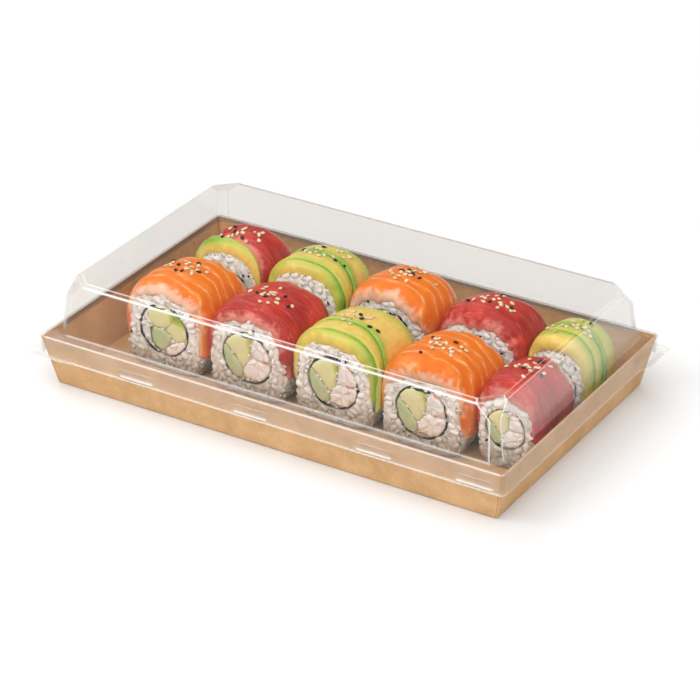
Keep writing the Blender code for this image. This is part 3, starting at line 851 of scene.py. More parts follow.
def lay_grains(grains, bends):
    """Points and faces of grains: each has a place, a way to lie along, an up side, a length and a width."""
    parts = []
    for (place, way, up, length, width), bend in zip(grains, bends):
        way = way / np.linalg.norm(way)
        side = np.cross(up, way)
        side /= max(np.linalg.norm(side), 1e-9)
        local = GRAIN_POINTS * np.array([length, width, width * GRAIN_HEIGHT])
        local[:, 1] += bend * (local[:, 0] ** 2) / length
        parts.append((laid(local, np.asarray(place), way, side, np.cross(way, side)), GRAIN_FACES))
    return joined(parts)


def scatter(rng, tries, low, high, spacing, accept=lambda a, b: True):
    """Points in a rectangle at least spacing apart that accept lets in."""
    found = np.zeros((0, 2))
    for a, b in rng.uniform(low, high, size=(tries, 2)):
        if accept(a, b) and not np.any(np.hypot(found[:, 0] - a, found[:, 1] - b) < spacing):
            found = np.vstack([found, (a, b)])
    return found


def spine_of(grain, steps):
    """Places along the middle of a grain that lies flat."""
    a, b, angle, length, width = grain
    run = steps * (length - width)
    return np.column_stack([a + run * math.cos(angle), b + run * math.sin(angle)])


def pack_grains(rng, tries, low, high, accept, long, wide, tight, taken=()):
    """Grains lying flat, packed close but hardly over each other: place, angle, length and width of each."""
    found = list(taken)
    steps = np.linspace(-0.5, 0.5, 5)
    spines = np.array([spine_of(grain, steps) for grain in found]).reshape(-1, 2)
    widths = np.repeat([grain[4] for grain in found], len(steps))
    for a, b in rng.uniform(low, high, size=(tries, 2)):
        grain = (a, b, rng.uniform(0.0, math.pi), rng.uniform(*long), rng.uniform(*wide))
        spine = spine_of(grain, steps)
        if not all(accept(*spot) for spot in spine[::2]):
            continue
        apart = np.hypot(spines[:, None, 0] - spine[:, 0], spines[:, None, 1] - spine[:, 1])
        if len(spines) and np.any(apart.min(axis=1) < 0.5 * tight * (widths + grain[4])):
            continue
        found.append(grain)
        spines = np.concatenate([spines, spine])
        widths = np.concatenate([widths, np.full(len(steps), grain[4])])
    return found[len(taken):]


def edge_distance(roll, x, z):
    """About how far inside the rice outline a place on a cut face is, in mm."""
    across = abs(x - roll.x) / roll.half
    if z < roll.middle_z:
        return roll.half - abs(x - roll.x)
    up = (z - roll.middle_z) / (roll.top - roll.middle_z)
    radius = (across ** (2.0 / TOP_POWER) + up ** (2.0 / TOP_POWER)) ** (TOP_POWER / 2.0)
    return (1.0 - radius) * roll.half


def edge_depth(radius, inside):
    """How far back a rounded edge lies, inside mm in from its outline."""
    left = max(0.0, radius - max(inside, 0.0))
    return radius - math.sqrt(max(radius ** 2 - left ** 2, 0.0))


def face_way(angle, tilt, outward):
    """Way of a grain on a cut face, at an angle on the face and with its end tilted out of it."""
    return np.array([math.cos(angle) * math.cos(tilt), outward * math.sin(tilt),
                     math.sin(angle) * math.cos(tilt)])


def face_round(roll, outward):
    """Rounding between the front or the back cut face and the outside."""
    return roll.round if outward < 0 else roll.back_round


def face_grains(roll, rng, y_face, outward):
    """Grains on a cut face, in the ring of rice round the nori; the face rounds off at its outline."""
    low = (roll.x - roll.half, roll.floor)
    high = (roll.x + roll.half, roll.top)

    def accept(x, z):
        return roll.in_rice_ring(x, z, 1.9, 0.95)

    lying = pack_grains(rng, 2600, low, high, accept, long=(3.9, 5.2), wide=(2.6, 3.1), tight=0.74)
    small = pack_grains(rng, 1800, low, high, accept, long=(2.7, 3.4), wide=(2.3, 2.7), tight=0.66,
                        taken=lying)
    grains = []
    for number, (x, z, angle, length, width) in enumerate(lying + small):
        tilt = rng.normal(0.0, 0.10) if number < len(lying) else rng.uniform(0.3, 0.9)
        sunk = 0.42 * width + 0.5 * (length - width) * abs(math.sin(tilt)) + rng.uniform(-0.10, 0.30)
        rounding = edge_depth(face_round(roll, outward) - 1.3, edge_distance(roll, x, z) - 1.3)
        place = (x, y_face - outward * (sunk + rounding), z)
        grains.append((place, face_way(angle, tilt, outward), (0.0, outward, 0.0), length, 1.14 * width))
    return grains


def surface_at(roll, degrees, grow):
    """Place on the roll's outline, and the direction along it, at an angle."""
    x, z = roll.outline(np.array([degrees, degrees + 1.0]), grow)
    tangent = np.array([x[1] - x[0], 0.0, z[1] - z[0]])
    return x[0], z[0], tangent / max(np.linalg.norm(tangent), 1e-6)


ALONG_Y = np.array([0.0, 1.0, 0.0])


def shoulder_grains(roll, rng, y_face, outward):
    """Grains round the edge between a cut face and the outside, where the topping's ragged border ends."""
    degrees = close_degrees(-roll.right_drop - 8.0, 180.0 + roll.left_drop + 8.0)
    run = run_along(*roll.outline(degrees, -1.3))
    radius = face_round(roll, outward)
    spots = pack_grains(rng, 1500, (0.0, 0.15 * radius), (run[-1], radius + 2.4), lambda a, b: b > 0.1,
                        long=(3.6, 4.8), wide=(2.3, 2.7), tight=0.74)
    grains = []
    for s, inward, angle, length, width in spots:
        y, grow = roll.wrap(y_face - outward * inward, -1.3)
        turn = max(0.0, 1.0 - inward / radius)
        x, z, tangent = surface_at(roll, np.interp(s, run, degrees), grow)
        normal = np.cross(ALONG_Y, tangent)
        if normal @ np.array([x - roll.x, 0.0, z - roll.middle_z]) < 0:
            normal = -normal
        along = math.cos(turn) * ALONG_Y * -outward + normal * math.sin(turn)
        normal = normal * math.cos(turn) + outward * math.sin(turn) * ALONG_Y
        place = np.array([x, float(y), z]) + normal * rng.uniform(-0.12, 0.12)
        way = math.cos(angle) * tangent + math.sin(angle) * along
        grains.append((place, way, normal, length, 1.12 * width))
    return grains


def side_grains(roll, rng, left):
    """Grains on the side below the topping's end; the lowest ones lie along the roll."""
    first, last = (180.0 + 0.2 * roll.left_drop, 258.0) if left else (-78.0, -0.2 * roll.right_drop)
    degrees = close_degrees(first, last)
    run = run_along(*roll.outline(degrees, -1.1))
    grains = []
    for s, y in scatter(rng, 1500, (0.0, roll.front + 2.2), (run[-1], roll.back - 2.2), 2.5):
        x, z, tangent = surface_at(roll, np.interp(s, run, degrees), -1.1)
        normal = np.cross(tangent, ALONG_Y)
        if normal[0] * (-1 if left else 1) < 0 and abs(normal[0]) > 0.1:
            normal = -normal
        angle = rng.uniform(0.0, math.pi)
        way = math.cos(angle) * tangent + math.sin(angle) * ALONG_Y
        way = way + rng.normal(0.0, 0.12) * normal
        length = rng.uniform(4.2, 5.8)
        if z < roll.floor + 2.2:
            way = ALONG_Y
        reach = 0.45 * length * abs(way[1])
        y = min(max(y, roll.front + 1.5 + reach), roll.back - 1.5 - reach)
        place = np.array([x, y, z]) + normal * rng.uniform(-0.25, 0.15)
        grains.append((place, way, normal, length, rng.uniform(2.2, 2.6)))
    return grains


STAINS = {"salmon": (0.88, 0.50, 0.36), "tuna": (0.82, 0.40, 0.34), "avocado": (0.82, 0.74, 0.46)}
PAINTED_RICE_SHADE = (0.33, 0.30, 0.24)     # painted shade on the rice near the tray's floor, where little light comes
STAIN_POWER = 2.2


def stain_amount(roll, points):
    """How much the topping's colour shows on rice, strongest right under its front and back edges."""
    x, z = points[:, 0] - roll.x, points[:, 2] - roll.middle_z
    across = np.abs(x) / roll.half
    rise = np.clip(z, 0.0, None) / (roll.top - roll.middle_z)
    radius = (across ** STAIN_POWER + rise ** STAIN_POWER) ** (1.0 / STAIN_POWER)
    near = smoothstep(0.74, 1.0, radius) * smoothstep(-14.0, 4.0, z)
    patch = 0.6 + 0.4 * ripple(points, 4.0, roll.seed + 400)
    return np.clip(near * patch, 0.0, 1.0) * 0.72


def rice_piece(roll, name, points, faces, smooth):
    """Piece of rice with its stains and its painted shade."""
    piece = make_piece(f"{roll.name}_rice_{name}", roll.droop(points), faces, MATERIALS["rice"],
                       [f"{roll.name}_rice"], smooth)
    stain_and_shade_colour = np.tile(np.array(STAINS["avocado" if roll.name == "back1" else roll.topping]), (len(points), 1))
    # painted shade: the rice is darkened towards the tray's floor, where little light comes
    low = 0.92 * (1.0 - smoothstep(roll.floor + 0.5, roll.floor + 16.0, points[:, 2]))
    amount = stain_amount(roll, points)
    stain_and_shade_colour[low > amount] = PAINTED_RICE_SHADE
    set_numbers(piece, "stain_and_shade_colour", stain_and_shade_colour)
    set_numbers(piece, "stain_and_shade_amount", np.maximum(low, amount))


def rice_pieces(roll):
    """The loose grains all round a roll, and the lumpy rice behind them."""
    rng = np.random.default_rng(900 + roll.seed)
    ends = ((roll.front, -1.0), (roll.back, 1.0))
    grains = [grain for end in ends for grain in face_grains(roll, rng, *end)]
    grains += [grain for end in ends for grain in shoulder_grains(roll, rng, *end)]
    grains += side_grains(roll, rng, True) + side_grains(roll, rng, False)
    grains += [grain for end in ends for grain in pocket_grains(roll, rng, *end)]
    points, faces = lay_grains(grains, rng.uniform(-0.5, 0.5, len(grains)))
    points[:, 2] = np.maximum(points[:, 2], roll.floor)
    rice_piece(roll, "grains", points, faces, 180.0)
    rice_piece(roll, "core", *rice_core(roll), 60.0)


CORE_COLUMNS = 88
# Loops of the rice core from the front, over the outside, to the back: each one's share of the roll's
# length, how far behind that it is, and how far outside the outline, in mm
CORE_STATIONS = ((0.0, 0.48, -3.8), (0.0, 1.0, -2.2), (0.0, 2.6, -1.5), (0.0, 5.0, -0.9), (0.5, 0.0, -0.8),
                 (1.0, -6.0, -0.9), (1.0, -3.4, -1.5), (1.0, -1.8, -2.9), (1.0, -0.8, -4.8))
BED_SHARES = (0.30, 0.72, 1.0)


def rice_core(roll):
    """Rice under the grains: a lumpy ring round the nori, and a bed inside it behind the fillings."""
    degrees = np.linspace(0.0, 360.0, CORE_COLUMNS, endpoint=False)

    def oval(grow, share, y):
        """Loop along the nori, grown by grow and then drawn in to a share of that."""
        x = roll.core_x + (roll.core_half[0] + grow) * share * np.cos(np.radians(degrees))
        z = roll.core_z + (roll.core_half[1] + grow) * share * np.sin(np.radians(degrees))
        return stacked(x, y, z)

    loops = []
    for share, shift, grow in CORE_STATIONS:
        x, z = roll.outline(degrees, grow)
        loops.append(stacked(x, roll.front + share * roll.depth + shift, np.maximum(z, roll.floor + 0.4)))
    loops += [oval(0.35, 1.0, roll.back - 1.0), oval(0.35, 1.0, roll.front + 1.0)]
    ring = np.concatenate(loops)
    lumps = 0.22 * ripple(ring, 1.6, roll.seed + 60)
    ring[:, 1] += lumps
    ring[:, 0] += 0.5 * lumps
    inside = -NORI_THICK - 0.35
    beds = [oval(inside, share, roll.front + 1.6) for share in BED_SHARES]
    beds += [oval(inside, share, roll.back - 1.6) for share in reversed(BED_SHARES)]
    bed = np.concatenate(beds)
    bed[:, 1] += 0.2 * ripple(bed, 1.5, roll.seed + 61)
    return joined([
        (ring, grid_faces(len(loops), CORE_COLUMNS, wrap_rows=True, wrap_columns=True)),
        (bed, bar_faces(len(beds), CORE_COLUMNS)),
    ])


# ---------------------------------------------------------------- nori and fillings

NORI_COLUMNS = 150
NORI_ROWS = 7
NORI_TURN = (62.0, 445.0)      # where the sheet starts and ends, in degrees round the fillings


def nori_piece(roll):
    """Thin sheet wound a little more than once round the fillings, with ragged cut edges."""
    turn = np.radians(np.linspace(*NORI_TURN, NORI_COLUMNS))
    line = stacked(np.cos(turn) * 9.0, 0.0, np.sin(turn) * 9.0)
    wave = 0.50 * ripple(line, 4.2, roll.seed + 200) + 0.22 * ripple(line, 1.6, roll.seed + 201)
    wave -= wave.min() * 0.6
    # the sheet's start lies under its end; near the top a fold makes it thicker and stick out
    inset = 1.2 * np.exp(-(turn - turn[0]) / 0.30) + wave
    fold = 0.80 * np.exp(-((turn - math.radians(95.0)) / 0.30) ** 2)
    ragged = 0.25 + 2.0 * (0.5 + 0.5 * ripple(line, 3.2, roll.seed + 202)) ** 2
    ragged = ragged * (1.0 - fold) - 0.35 * fold
    thin_out = 0.35 + 0.65 * np.clip(0.5 + 0.8 * ripple(line, 2.4, roll.seed + 203), 0.0, 1.0)
    points = []
    for thick in (0.0, NORI_THICK * thin_out + 1.1 * fold):
        x = roll.core_x + (roll.core_half[0] - inset - thick) * np.cos(turn)
        z = roll.core_z + (roll.core_half[1] - inset - thick) * np.sin(turn)
        for share in np.linspace(0.0, 1.0, NORI_ROWS):
            y = roll.front + 0.2 + ragged + (roll.depth - 0.4 - 2.0 * ragged) * share
            points.append(stacked(x, y, z))
    faces = flipped(sheet_faces(NORI_ROWS, NORI_COLUMNS))
    make_piece(f"{roll.name}_nori_wrap", roll.droop(np.concatenate(points)), faces, MATERIALS["nori"],
               [roll.core], smooth=50.0)


# Outlines of the fillings on a cut face, from the nori's centre: x to the right, z up, for a nori
# 25 mm across. Each goes with its kind, and its skin or red side as a direction in degrees.
USUAL_FILLING = {
    "avocado": ("avocado", 12, ((-10.2, 5.2), (-7.4, 8.8), (-3.2, 11.0), (1.0, 10.6), (2.1, 6.4), (1.6, 1.2),
                                (-1.6, -3.9), (-5.8, 0.9))),
    "cucumber": ("cucumber", 205, ((-11.5, 1.6), (-10.6, 4.2), (-6.6, 0.2), (-2.3, -4.8), (-2.5, -8.9),
                                   (-5.8, -9.8), (-9.4, -7.0), (-11.3, -2.6))),
    "crab_a": ("crab", 0, ((2.8, 6.4), (4.4, 10.0), (7.6, 8.6), (10.2, 5.0), (11.1, 1.6), (7.2, 0.7),
                           (3.0, 1.4))),
    "crab_b": ("crab", 0, ((-1.2, -4.8), (2.9, 0.3), (7.4, 0.1), (11.2, -0.6), (10.6, -5.2), (7.4, -8.8),
                           (3.2, -9.2), (-0.6, -8.4))),
}
FIRST_FILLING = {
    "avocado": ("avocado", 15, ((-7.6, 7.2), (-3.4, 10.6), (2.6, 11.2), (6.6, 9.2), (6.2, 5.6), (0.6, 1.5),
                                (-5.4, 1.6))),
    "cucumber_a": ("cucumber", 200, ((-6.6, 0.4), (-1.2, 0.8), (2.7, -1.6), (3.4, -4.6), (0.6, -8.6),
                                     (-2.8, -9.8), (-6.0, -7.2), (-6.9, -3.2))),
    "cucumber_b": ("avocado", 70, ((6.4, 8.0), (9.2, 6.6), (11.0, 2.6), (11.1, -1.4), (6.8, -3.9),
                                   (3.8, -1.0), (1.6, 1.2))),
    "crab": ("crab", 90, ((1.2, -8.4), (4.6, -5.2), (10.6, -2.9), (10.6, -5.4), (7.6, -9.0), (3.4, -10.8))),
}
FILLING_SWELL = 1.03           # the fillings press against each other and the nori
FILLING_COLUMNS = 56
FILLING_LIMIT = (12.0, 11.6)   # the oval that they stay in, where the nori is 12.6 by 12.2
FULL_CORE_RISE = 12.2
# How far a filling's cut faces stand out, and how uneven they are: size of the bumps and height
FILLING_FACES = {"avocado": (0.35, 3.0, 0.12), "cucumber": (0.15, 3.0, 0.12), "crab": (0.55, 1.7, 0.40)}
# The rounding of a cut face: share of the outline, and how far behind the face's middle
FACE_STATIONS = ((0.25, 0.0), (0.55, 0.018), (0.80, 0.09), (0.93, 0.315), (1.0, 0.72))


def filling_table(roll):
    """The set of filling outlines that a roll has."""
    return FIRST_FILLING if roll.name == "front1" else USUAL_FILLING


def closed_curve(points, count):
    """Smooth closed curve through the points, as count points evenly shared between them."""
    points = np.array(points, float)
    total = len(points)
    found = []
    for step in range(count):
        at = step * total / count
        i = int(at)
        t = at - i
        a, b, c, d = (points[(i + k) % total] for k in (-1, 0, 1, 2))
        found.append(0.5 * (2 * b + (c - a) * t + (2 * a - 5 * b + 4 * c - d) * t * t
                            + (3 * b - a - 3 * c + d) * t ** 3))
    return np.array(found)


def filling_outline(roll, points):
    """The outline in the roll, kept inside the nori."""
    curve = closed_curve(points, FILLING_COLUMNS) * FILLING_SWELL
    curve /= np.maximum(np.hypot(*(curve / FILLING_LIMIT).T), 1.0)[:, None]
    x, z = curve.T
    return roll.core_x + x * roll.scale, roll.core_z + z * roll.core_half[1] / FULL_CORE_RISE


def filling_rim(roll, kind, share, side):
    """Where a filling takes its skin's or its red side's colour; side is 1 towards the skin."""
    if kind == "avocado":
        return smoothstep(0.15, 1.0, side * share) * 0.80
    if kind == "cucumber":
        return smoothstep(0.50, 0.97, share) * smoothstep(0.05, 0.40, side)
    return share ** 3 * (0.62 + 0.38 * np.sin(np.arange(FILLING_COLUMNS) * 0.4 + roll.seed))


def filling_piece(roll, name, kind, skin, points, node):
    """Bar through the roll with softly rounded, slightly uneven cut faces."""
    full_x, full_z = filling_outline(roll, points)
    middle_x, middle_z = full_x.mean(), full_z.mean()
    out_x, out_z = full_x - middle_x, full_z - middle_z
    side = (out_x * math.cos(math.radians(skin)) + out_z * math.sin(math.radians(skin)))
    side /= np.hypot(out_x, out_z).max()
    bulge, bump_size, bump_height = FILLING_FACES[kind]
    stations = [(share, roll.front + 0.35 - bulge + behind) for share, behind in FACE_STATIONS]
    stations += [(1.0, y) for y in np.linspace(roll.front + 2.0, roll.back - 2.0, 5)]
    stations += [(share, roll.back - 0.35 + bulge - behind) for share, behind in reversed(FACE_STATIONS)]
    bar, rims, lays = [], [], []
    for share, y in stations:
        x, z = middle_x + out_x * share, middle_z + out_z * share
        bar.append(stacked(x, y, z))
        rims.append(filling_rim(roll, kind, share, side))
        lays.append(stacked(x - roll.x + roll.seed * 9.0, z, share))
    bar = np.concatenate(bar)
    bar[:, 1] += bump_height * ripple(bar, bump_size, roll.seed + 300 + len(name))
    faces = bar_faces(len(stations), FILLING_COLUMNS)
    if (full_x * np.roll(full_z, -1) - full_z * np.roll(full_x, -1)).sum() > 0:
        faces = flipped(faces)
    material = MATERIALS["avocado_heart" if kind == "avocado" else kind]
    piece = make_piece(f"{roll.name}_{name}_filling", roll.droop(bar), faces, material, [node])
    set_numbers(piece, "rim", np.concatenate(rims))
    set_numbers(piece, "lay", np.concatenate(lays))


def fillings(roll):
    """All fillings of a roll; front1 has its own set, and two crab sticks elsewhere share a CAD node."""
    for name, (kind, skin, points) in filling_table(roll).items():
        own = name if roll.name == "front1" else name.split("_")[0]
        filling_piece(roll, name, kind, skin, points, f"{roll.name}_{own}" if roll.opened else roll.core)


def in_outline(x, z, outline_x, outline_z):
    """Whether a place lies inside a closed outline: a line to the right crosses it an odd number of times."""
    last_x, last_z = np.roll(outline_x, 1), np.roll(outline_z, 1)
    crossed = (outline_z > z) != (last_z > z)
    run = (z - outline_z)[crossed] / (last_z - outline_z)[crossed]
    return np.count_nonzero(x < (last_x - outline_x)[crossed] * run + outline_x[crossed]) % 2 == 1


def pocket_grains(roll, rng, y_face, outward):
    """Grains inside the nori where no filling is."""
    outlines = [filling_outline(roll, points) for _, _, points in filling_table(roll).values()]
    low = (roll.core_x - roll.core_half[0], roll.core_z - roll.core_half[1])
    high = (roll.core_x + roll.core_half[0], roll.core_z + roll.core_half[1])

    def accept(x, z):
        in_nori = not roll.beyond_nori(x, z, -NORI_THICK - 1.0)
        return in_nori and not any(in_outline(x, z, *outline) for outline in outlines)

    grains = []
    for x, z in scatter(rng, 500, low, high, 1.9, accept):
        tilt = rng.uniform(0.8, 1.4)
        angle = rng.uniform(0.0, math.pi)
        length = rng.uniform(3.6, 4.6)
        place = (x, y_face - outward * (length * 0.5 * math.sin(tilt) + 0.1), z)
        way = face_way(angle, tilt, outward)
        grains.append((place, way, (0.0, outward, 0.0), length, rng.uniform(1.9, 2.3)))
    return grains


# ---------------------------------------------------------------- sesame

def topping_spot(slabs, roll, dx, y):
    """Place and normal on the topmost slab, dx mm across from the crest, at y; None off the slabs."""
    best = None
    for slab in slabs:
        degrees, ys, grow = slab["grid"]
        x, z = roll.outline(degrees, grow)
        distance = np.hypot(x - (roll.x + dx), ys - y) + np.where(z < roll.middle_z, 50.0, 0.0)
        i, j = np.unravel_index(np.argmin(distance), distance.shape)
        i = min(max(i, 1), distance.shape[0] - 2)
        j = min(max(j, 1), distance.shape[1] - 2)
        grid = np.stack([x, ys, z], axis=2)
        normal = np.cross(grid[i, j + 1] - grid[i, j - 1], grid[i + 1, j] - grid[i - 1, j])
        normal /= max(np.linalg.norm(normal), 1e-9)
        here = roll.droop(grid[i, j])
        if distance[i, j] < 2.0 and (best is None or here[2] > best[0][2]):
            best = (here, normal if normal[2] >= 0 else -normal)
    return best


SEED_RINGS = 8
SEED_SIDES = 10


def seed_template():
    """Flat teardrop seed along x, 1 long, 1 wide and 1 thick."""
    shares = [i / SEED_RINGS for i in range(1, SEED_RINGS)]
    stations = [(share - 0.5, 0.5 * math.sin(math.pi * share ** 0.8) ** 0.75) for share in shares]
    return tapered(stations, SEED_SIDES)


def lay_seeds(name, seeds, material):
    """One piece from seeds, each with a place, an up side, a turn about it, a length, width and thickness."""
    template, template_faces = seed_template()
    parts = []
    for place, up, turn, *size in seeds:
        up = up / np.linalg.norm(up)
        way = np.cross(up, (1.0, 0.0, 0.0) if abs(up[0]) < 0.9 else (0.0, 1.0, 0.0))
        way /= np.linalg.norm(way)
        side = np.cross(up, way)
        turned = math.cos(turn) * way + math.sin(turn) * side
        side = math.cos(turn) * side - math.sin(turn) * way
        parts.append((laid(template * np.array(size), place, turned, side, up), template_faces))
    points, faces = joined(parts)
    make_piece(name, points, faces, material, smooth=180.0)


# How many pale and black seeds lie on each roll, where the middle of the cluster is (mm across from
# the crest, and mm behind the front face), and how far the seeds spread (mm across, mm along)
SPRINKLES = {
    "front1": (15, 6, -1.0, 20.0, 5.6, 4.0), "front2": (16, 4, 2.5, 18.5, 5.2, 3.8),
    "front3": (13, 4, 0.0, 20.0, 6.0, 4.2), "front4": (16, 3, 1.0, 16.5, 5.4, 4.0),
    "front5": (14, 4, 1.5, 17.0, 4.6, 4.6), "back1": (14, 4, 0.0, 14.5, 5.2, 3.6),
    "back2": (14, 4, 2.0, 17.0, 6.0, 4.4), "back3": (16, 4, 1.5, 18.0, 5.2, 4.0),
    "back4": (16, 4, 1.0, 15.5, 5.4, 4.0), "back5": (15, 1, 1.5, 14.0, 5.0, 3.6),
}


SPRINKLE_TRIES = 60            # how often another place is tried for a seed
SEED_SPACING = 1.75


def sprinkle(roll, slabs, pale, black):
    """Seeds in a loose cluster on a roll's topping, the black ones last."""
    rng = np.random.default_rng(5000 + roll.seed)
    pale_count, black_count, dx, behind, spread_x, spread_y = SPRINKLES[roll.name]
    taken = []
    for number in range(pale_count + black_count):
        for _ in range(SPRINKLE_TRIES):
            x = dx + rng.normal(0.0, spread_x)
            y = roll.front + behind + rng.normal(0.0, spread_y)
            if abs(x) > roll.half * 0.72 or not roll.front + 4.0 < y < roll.back - 3.0:
                continue
            if all(math.hypot(x - a, y - b) > SEED_SPACING for a, b in taken):
                break
        spot = topping_spot(slabs, roll, x, y)
        if spot is None:
            continue
        taken.append((x, y))
        place, normal = spot
        normal = normal + rng.normal(0.0, 0.16, 3)
        is_black = number >= pale_count
        length = rng.uniform(2.4, 2.9) if is_black else rng.uniform(2.5, 3.0)
        width = length * rng.uniform(0.60, 0.68)
        thick = rng.uniform(0.85, 1.0)
        seed = (place + normal * thick * 0.42, normal, rng.uniform(0.0, math.tau), length, width, thick)
        (black if is_black else pale).append(seed)


def rice_seeds(roll, black):
    """Small black seeds pressed into the rice of the cut faces."""
    rng = np.random.default_rng(7000 + roll.seed)
    count = 1 if roll.opened else 6
    for y, outward in ((roll.front, -1.0), (roll.back, 1.0)):
        found = 0
        while found < count:
            x = rng.uniform(roll.x - roll.half, roll.x + roll.half)
            z = rng.uniform(roll.floor, roll.top)
            if not roll.in_rice_ring(x, z, 1.6, 1.2):
                continue
            normal = np.array([rng.normal(0.0, 0.3), outward, rng.normal(0.0, 0.3)])
            black.append((roll.droop([x, y - outward * 0.15, z]), normal, rng.uniform(0.0, math.tau),
                          rng.uniform(1.6, 2.2), rng.uniform(1.0, 1.3), 0.8))
            found += 1


# ---------------------------------------------------------------- tray

BOARD = 0.6
SEAM = 0.18                    # dark gap between a wall's end and the next wall's board
FLARE = 4.71                   # how far a wall leans out from its foot to its rim
FOLD = 0.9                     # radius of the fold at a wall's foot
FOLD_STEPS = 6
WALL_LEVELS = 13               # levels above the fold
WALL_COLUMNS = 60
FLOOR_COLUMNS, FLOOR_ROWS = 44, 30
FLAP_THICK = 0.5
FLAP_FOOT_Z = 1.2
SIGNS = (-1.0, 1.0)


def board_panel(corners, inward):
    """Flap of even thickness from four corners on its outer face, with softened edges."""
    corners, inward = np.array(corners), np.array(inward)
    soft = 0.12
    loops = []
    for depth, shrink in ((0.0, soft), (soft, 0.0), (FLAP_THICK - soft, 0.0), (FLAP_THICK, soft)):
        for before, here, after in zip(np.roll(corners, 1, axis=0), corners, np.roll(corners, -1, axis=0)):
            towards = sum((other - here) / np.linalg.norm(other - here) for other in (before, after))
            loops.append(here + towards * shrink + inward * depth)
    faces = grid_faces(4, 4, wrap_columns=True) + [(3, 2, 1, 0), (12, 13, 14, 15)]
    if np.cross(corners[1] - corners[0], corners[3] - corners[0]) @ inward > 0:
        faces = flipped(faces)
    return np.array(loops), faces


def fold_tangent(slope):
    """How far in from a wall's foot its fold touches the floor."""
    return FOLD * math.tan((math.pi / 2 - slope) / 2)


def folded_wall(foot_half, rim_half, outer, height, across_x, sign, end_gap):
    """A wall and the rounded fold at its foot; across_x says that it stands across the x axis."""
    slope = math.atan2(FLARE, height)
    centre = outer - FLARE - fold_tangent(slope)
    levels = [(centre + FOLD * math.cos(angle), FOLD + FOLD * math.sin(angle), angle)
              for angle in np.linspace(-math.pi / 2, -slope, FOLD_STEPS + 1)]
    for z in np.linspace(levels[-1][1], height, WALL_LEVELS + 1)[1:]:
        levels.append((outer - FLARE * (1.0 - z / height), z, -slope))
    outside, inside = [], []
    for off, z, angle in levels:
        half = foot_half + (rim_half - foot_half) * z / height - end_gap
        run = np.linspace(-half, half, WALL_COLUMNS)
        sag = 0.10 * ripple(stacked(run, z, outer), 30.0, 12)
        sag *= np.clip((half - np.abs(run)) / 12.0, 0.0, 1.0) * (z / height)
        outside.append((run, off + sag, z))
        inside.append((run, off - BOARD * math.cos(angle) + sag, max(z - BOARD * math.sin(angle), 0.0)))
    rows = outside + inside[::-1]
    points = [stacked(sign * off, run, z) if across_x else stacked(run, sign * off, z)
              for run, off, z in rows]
    faces = grid_faces(len(rows), WALL_COLUMNS, wrap_rows=True)
    for i in range(len(levels) - 1):
        end = [row * WALL_COLUMNS for row in (i, i + 1, len(rows) - 2 - i, len(rows) - 1 - i)]
        faces += [tuple(end), tuple(WALL_COLUMNS - 1 + k for k in reversed(end))]
    return np.concatenate(points), flipped(faces) if (sign > 0) == across_x else faces


def tray_floor(half_x, half_y):
    """Flat board between the walls' folds."""
    x, y = np.meshgrid(np.linspace(-half_x, half_x, FLOOR_COLUMNS), np.linspace(-half_y, half_y, FLOOR_ROWS))
    points = np.concatenate([stacked(x, y, 0.0), stacked(x, y, BOARD)])
    return points, flipped(sheet_faces(FLOOR_ROWS, FLOOR_COLUMNS))


def corner_flap(rim_x, rim_y, height, sign_x, sign_y):
    """Glued flap at a corner, folded round behind the long wall."""
    slope = math.atan2(FLARE, height)
    top = height - 0.8
    in_x, in_y = rim_x - BOARD - 0.1, rim_y - BOARD - 0.12
    lean = FLARE / height * (height - top)
    corners = [(in_x - FLARE - 0.3, in_y - FLARE, FLAP_FOOT_Z), (in_x - lean, in_y - lean, top),
               (in_x - 20.0, in_y - lean, top), (in_x - 16.0 - FLARE, in_y - FLARE, FLAP_FOOT_Z)]
    return board_panel([(sign_x * x, sign_y * y, z) for x, y, z in corners],
                       (0.0, -sign_y * math.cos(slope), 0.0))


def tray_piece():
    """The kraft tray: four walls folded up from one floor, and four glued flaps."""
    _, (half_x, half_y, height) = cad_corners("tray")
    foot_x, foot_y = half_x - FLARE, half_y - FLARE
    panels = []
    for sign in SIGNS:
        panels.append(folded_wall(foot_y, half_y, half_x, height, True, sign, 0.02))
        panels.append(folded_wall(foot_x, half_x, half_y, height, False, sign, BOARD + SEAM))
    inset = fold_tangent(math.atan2(FLARE, height)) + 0.02
    panels.append(tray_floor(foot_x - inset, foot_y - inset))
    panels += [corner_flap(half_x, half_y, height, sign_x, sign_y) for sign_x in SIGNS for sign_y in SIGNS]
    points, faces = joined(panels)
    make_piece("tray_board", points, faces, MATERIALS["kraft_board"], ["tray"], smooth=35.0)


# ---------------------------------------------------------------- lid

SHEET = 0.42
HALF_X, HALF_Y = 115.0, 70.13  # the skirt's outside at the rim
SHOULDER_Z = 24.65             # the flat ledge that sits on the tray's rim
SKIRT_FOOT_Z = 15.4
WALL_FOOT = 5.7                # how far in the dome starts
WALL_TOP_Z = 48.4
DOME_DRAFT = 3.3 / (WALL_TOP_Z - SHOULDER_Z)
TOP_BEVEL = 1.9
FACET_FOOT_Z = 42.6            # the foot and the top of the flat facets at the corners
FACET_TOP_Z = 47.2
LOWER_WALL_Z = 42.1            # where the rounded corners below the facets start
PANEL_EDGE_Z = 49.5
SNAP_CENTRES = (-63.6, -5.9, 54.3, 101.5)
SNAP_WIDTH = 17.5
TAB_OUT, TAB_RISE = 3.6, 2.0
RIB_STEP = 1.3                 # from one grip line on a tab to the next
CORNERS = ((1, 1), (-1, 1), (-1, -1), (1, -1))
CORNER_POINTS = 15
LONG_POINTS, SHORT_POINTS = 250, 152


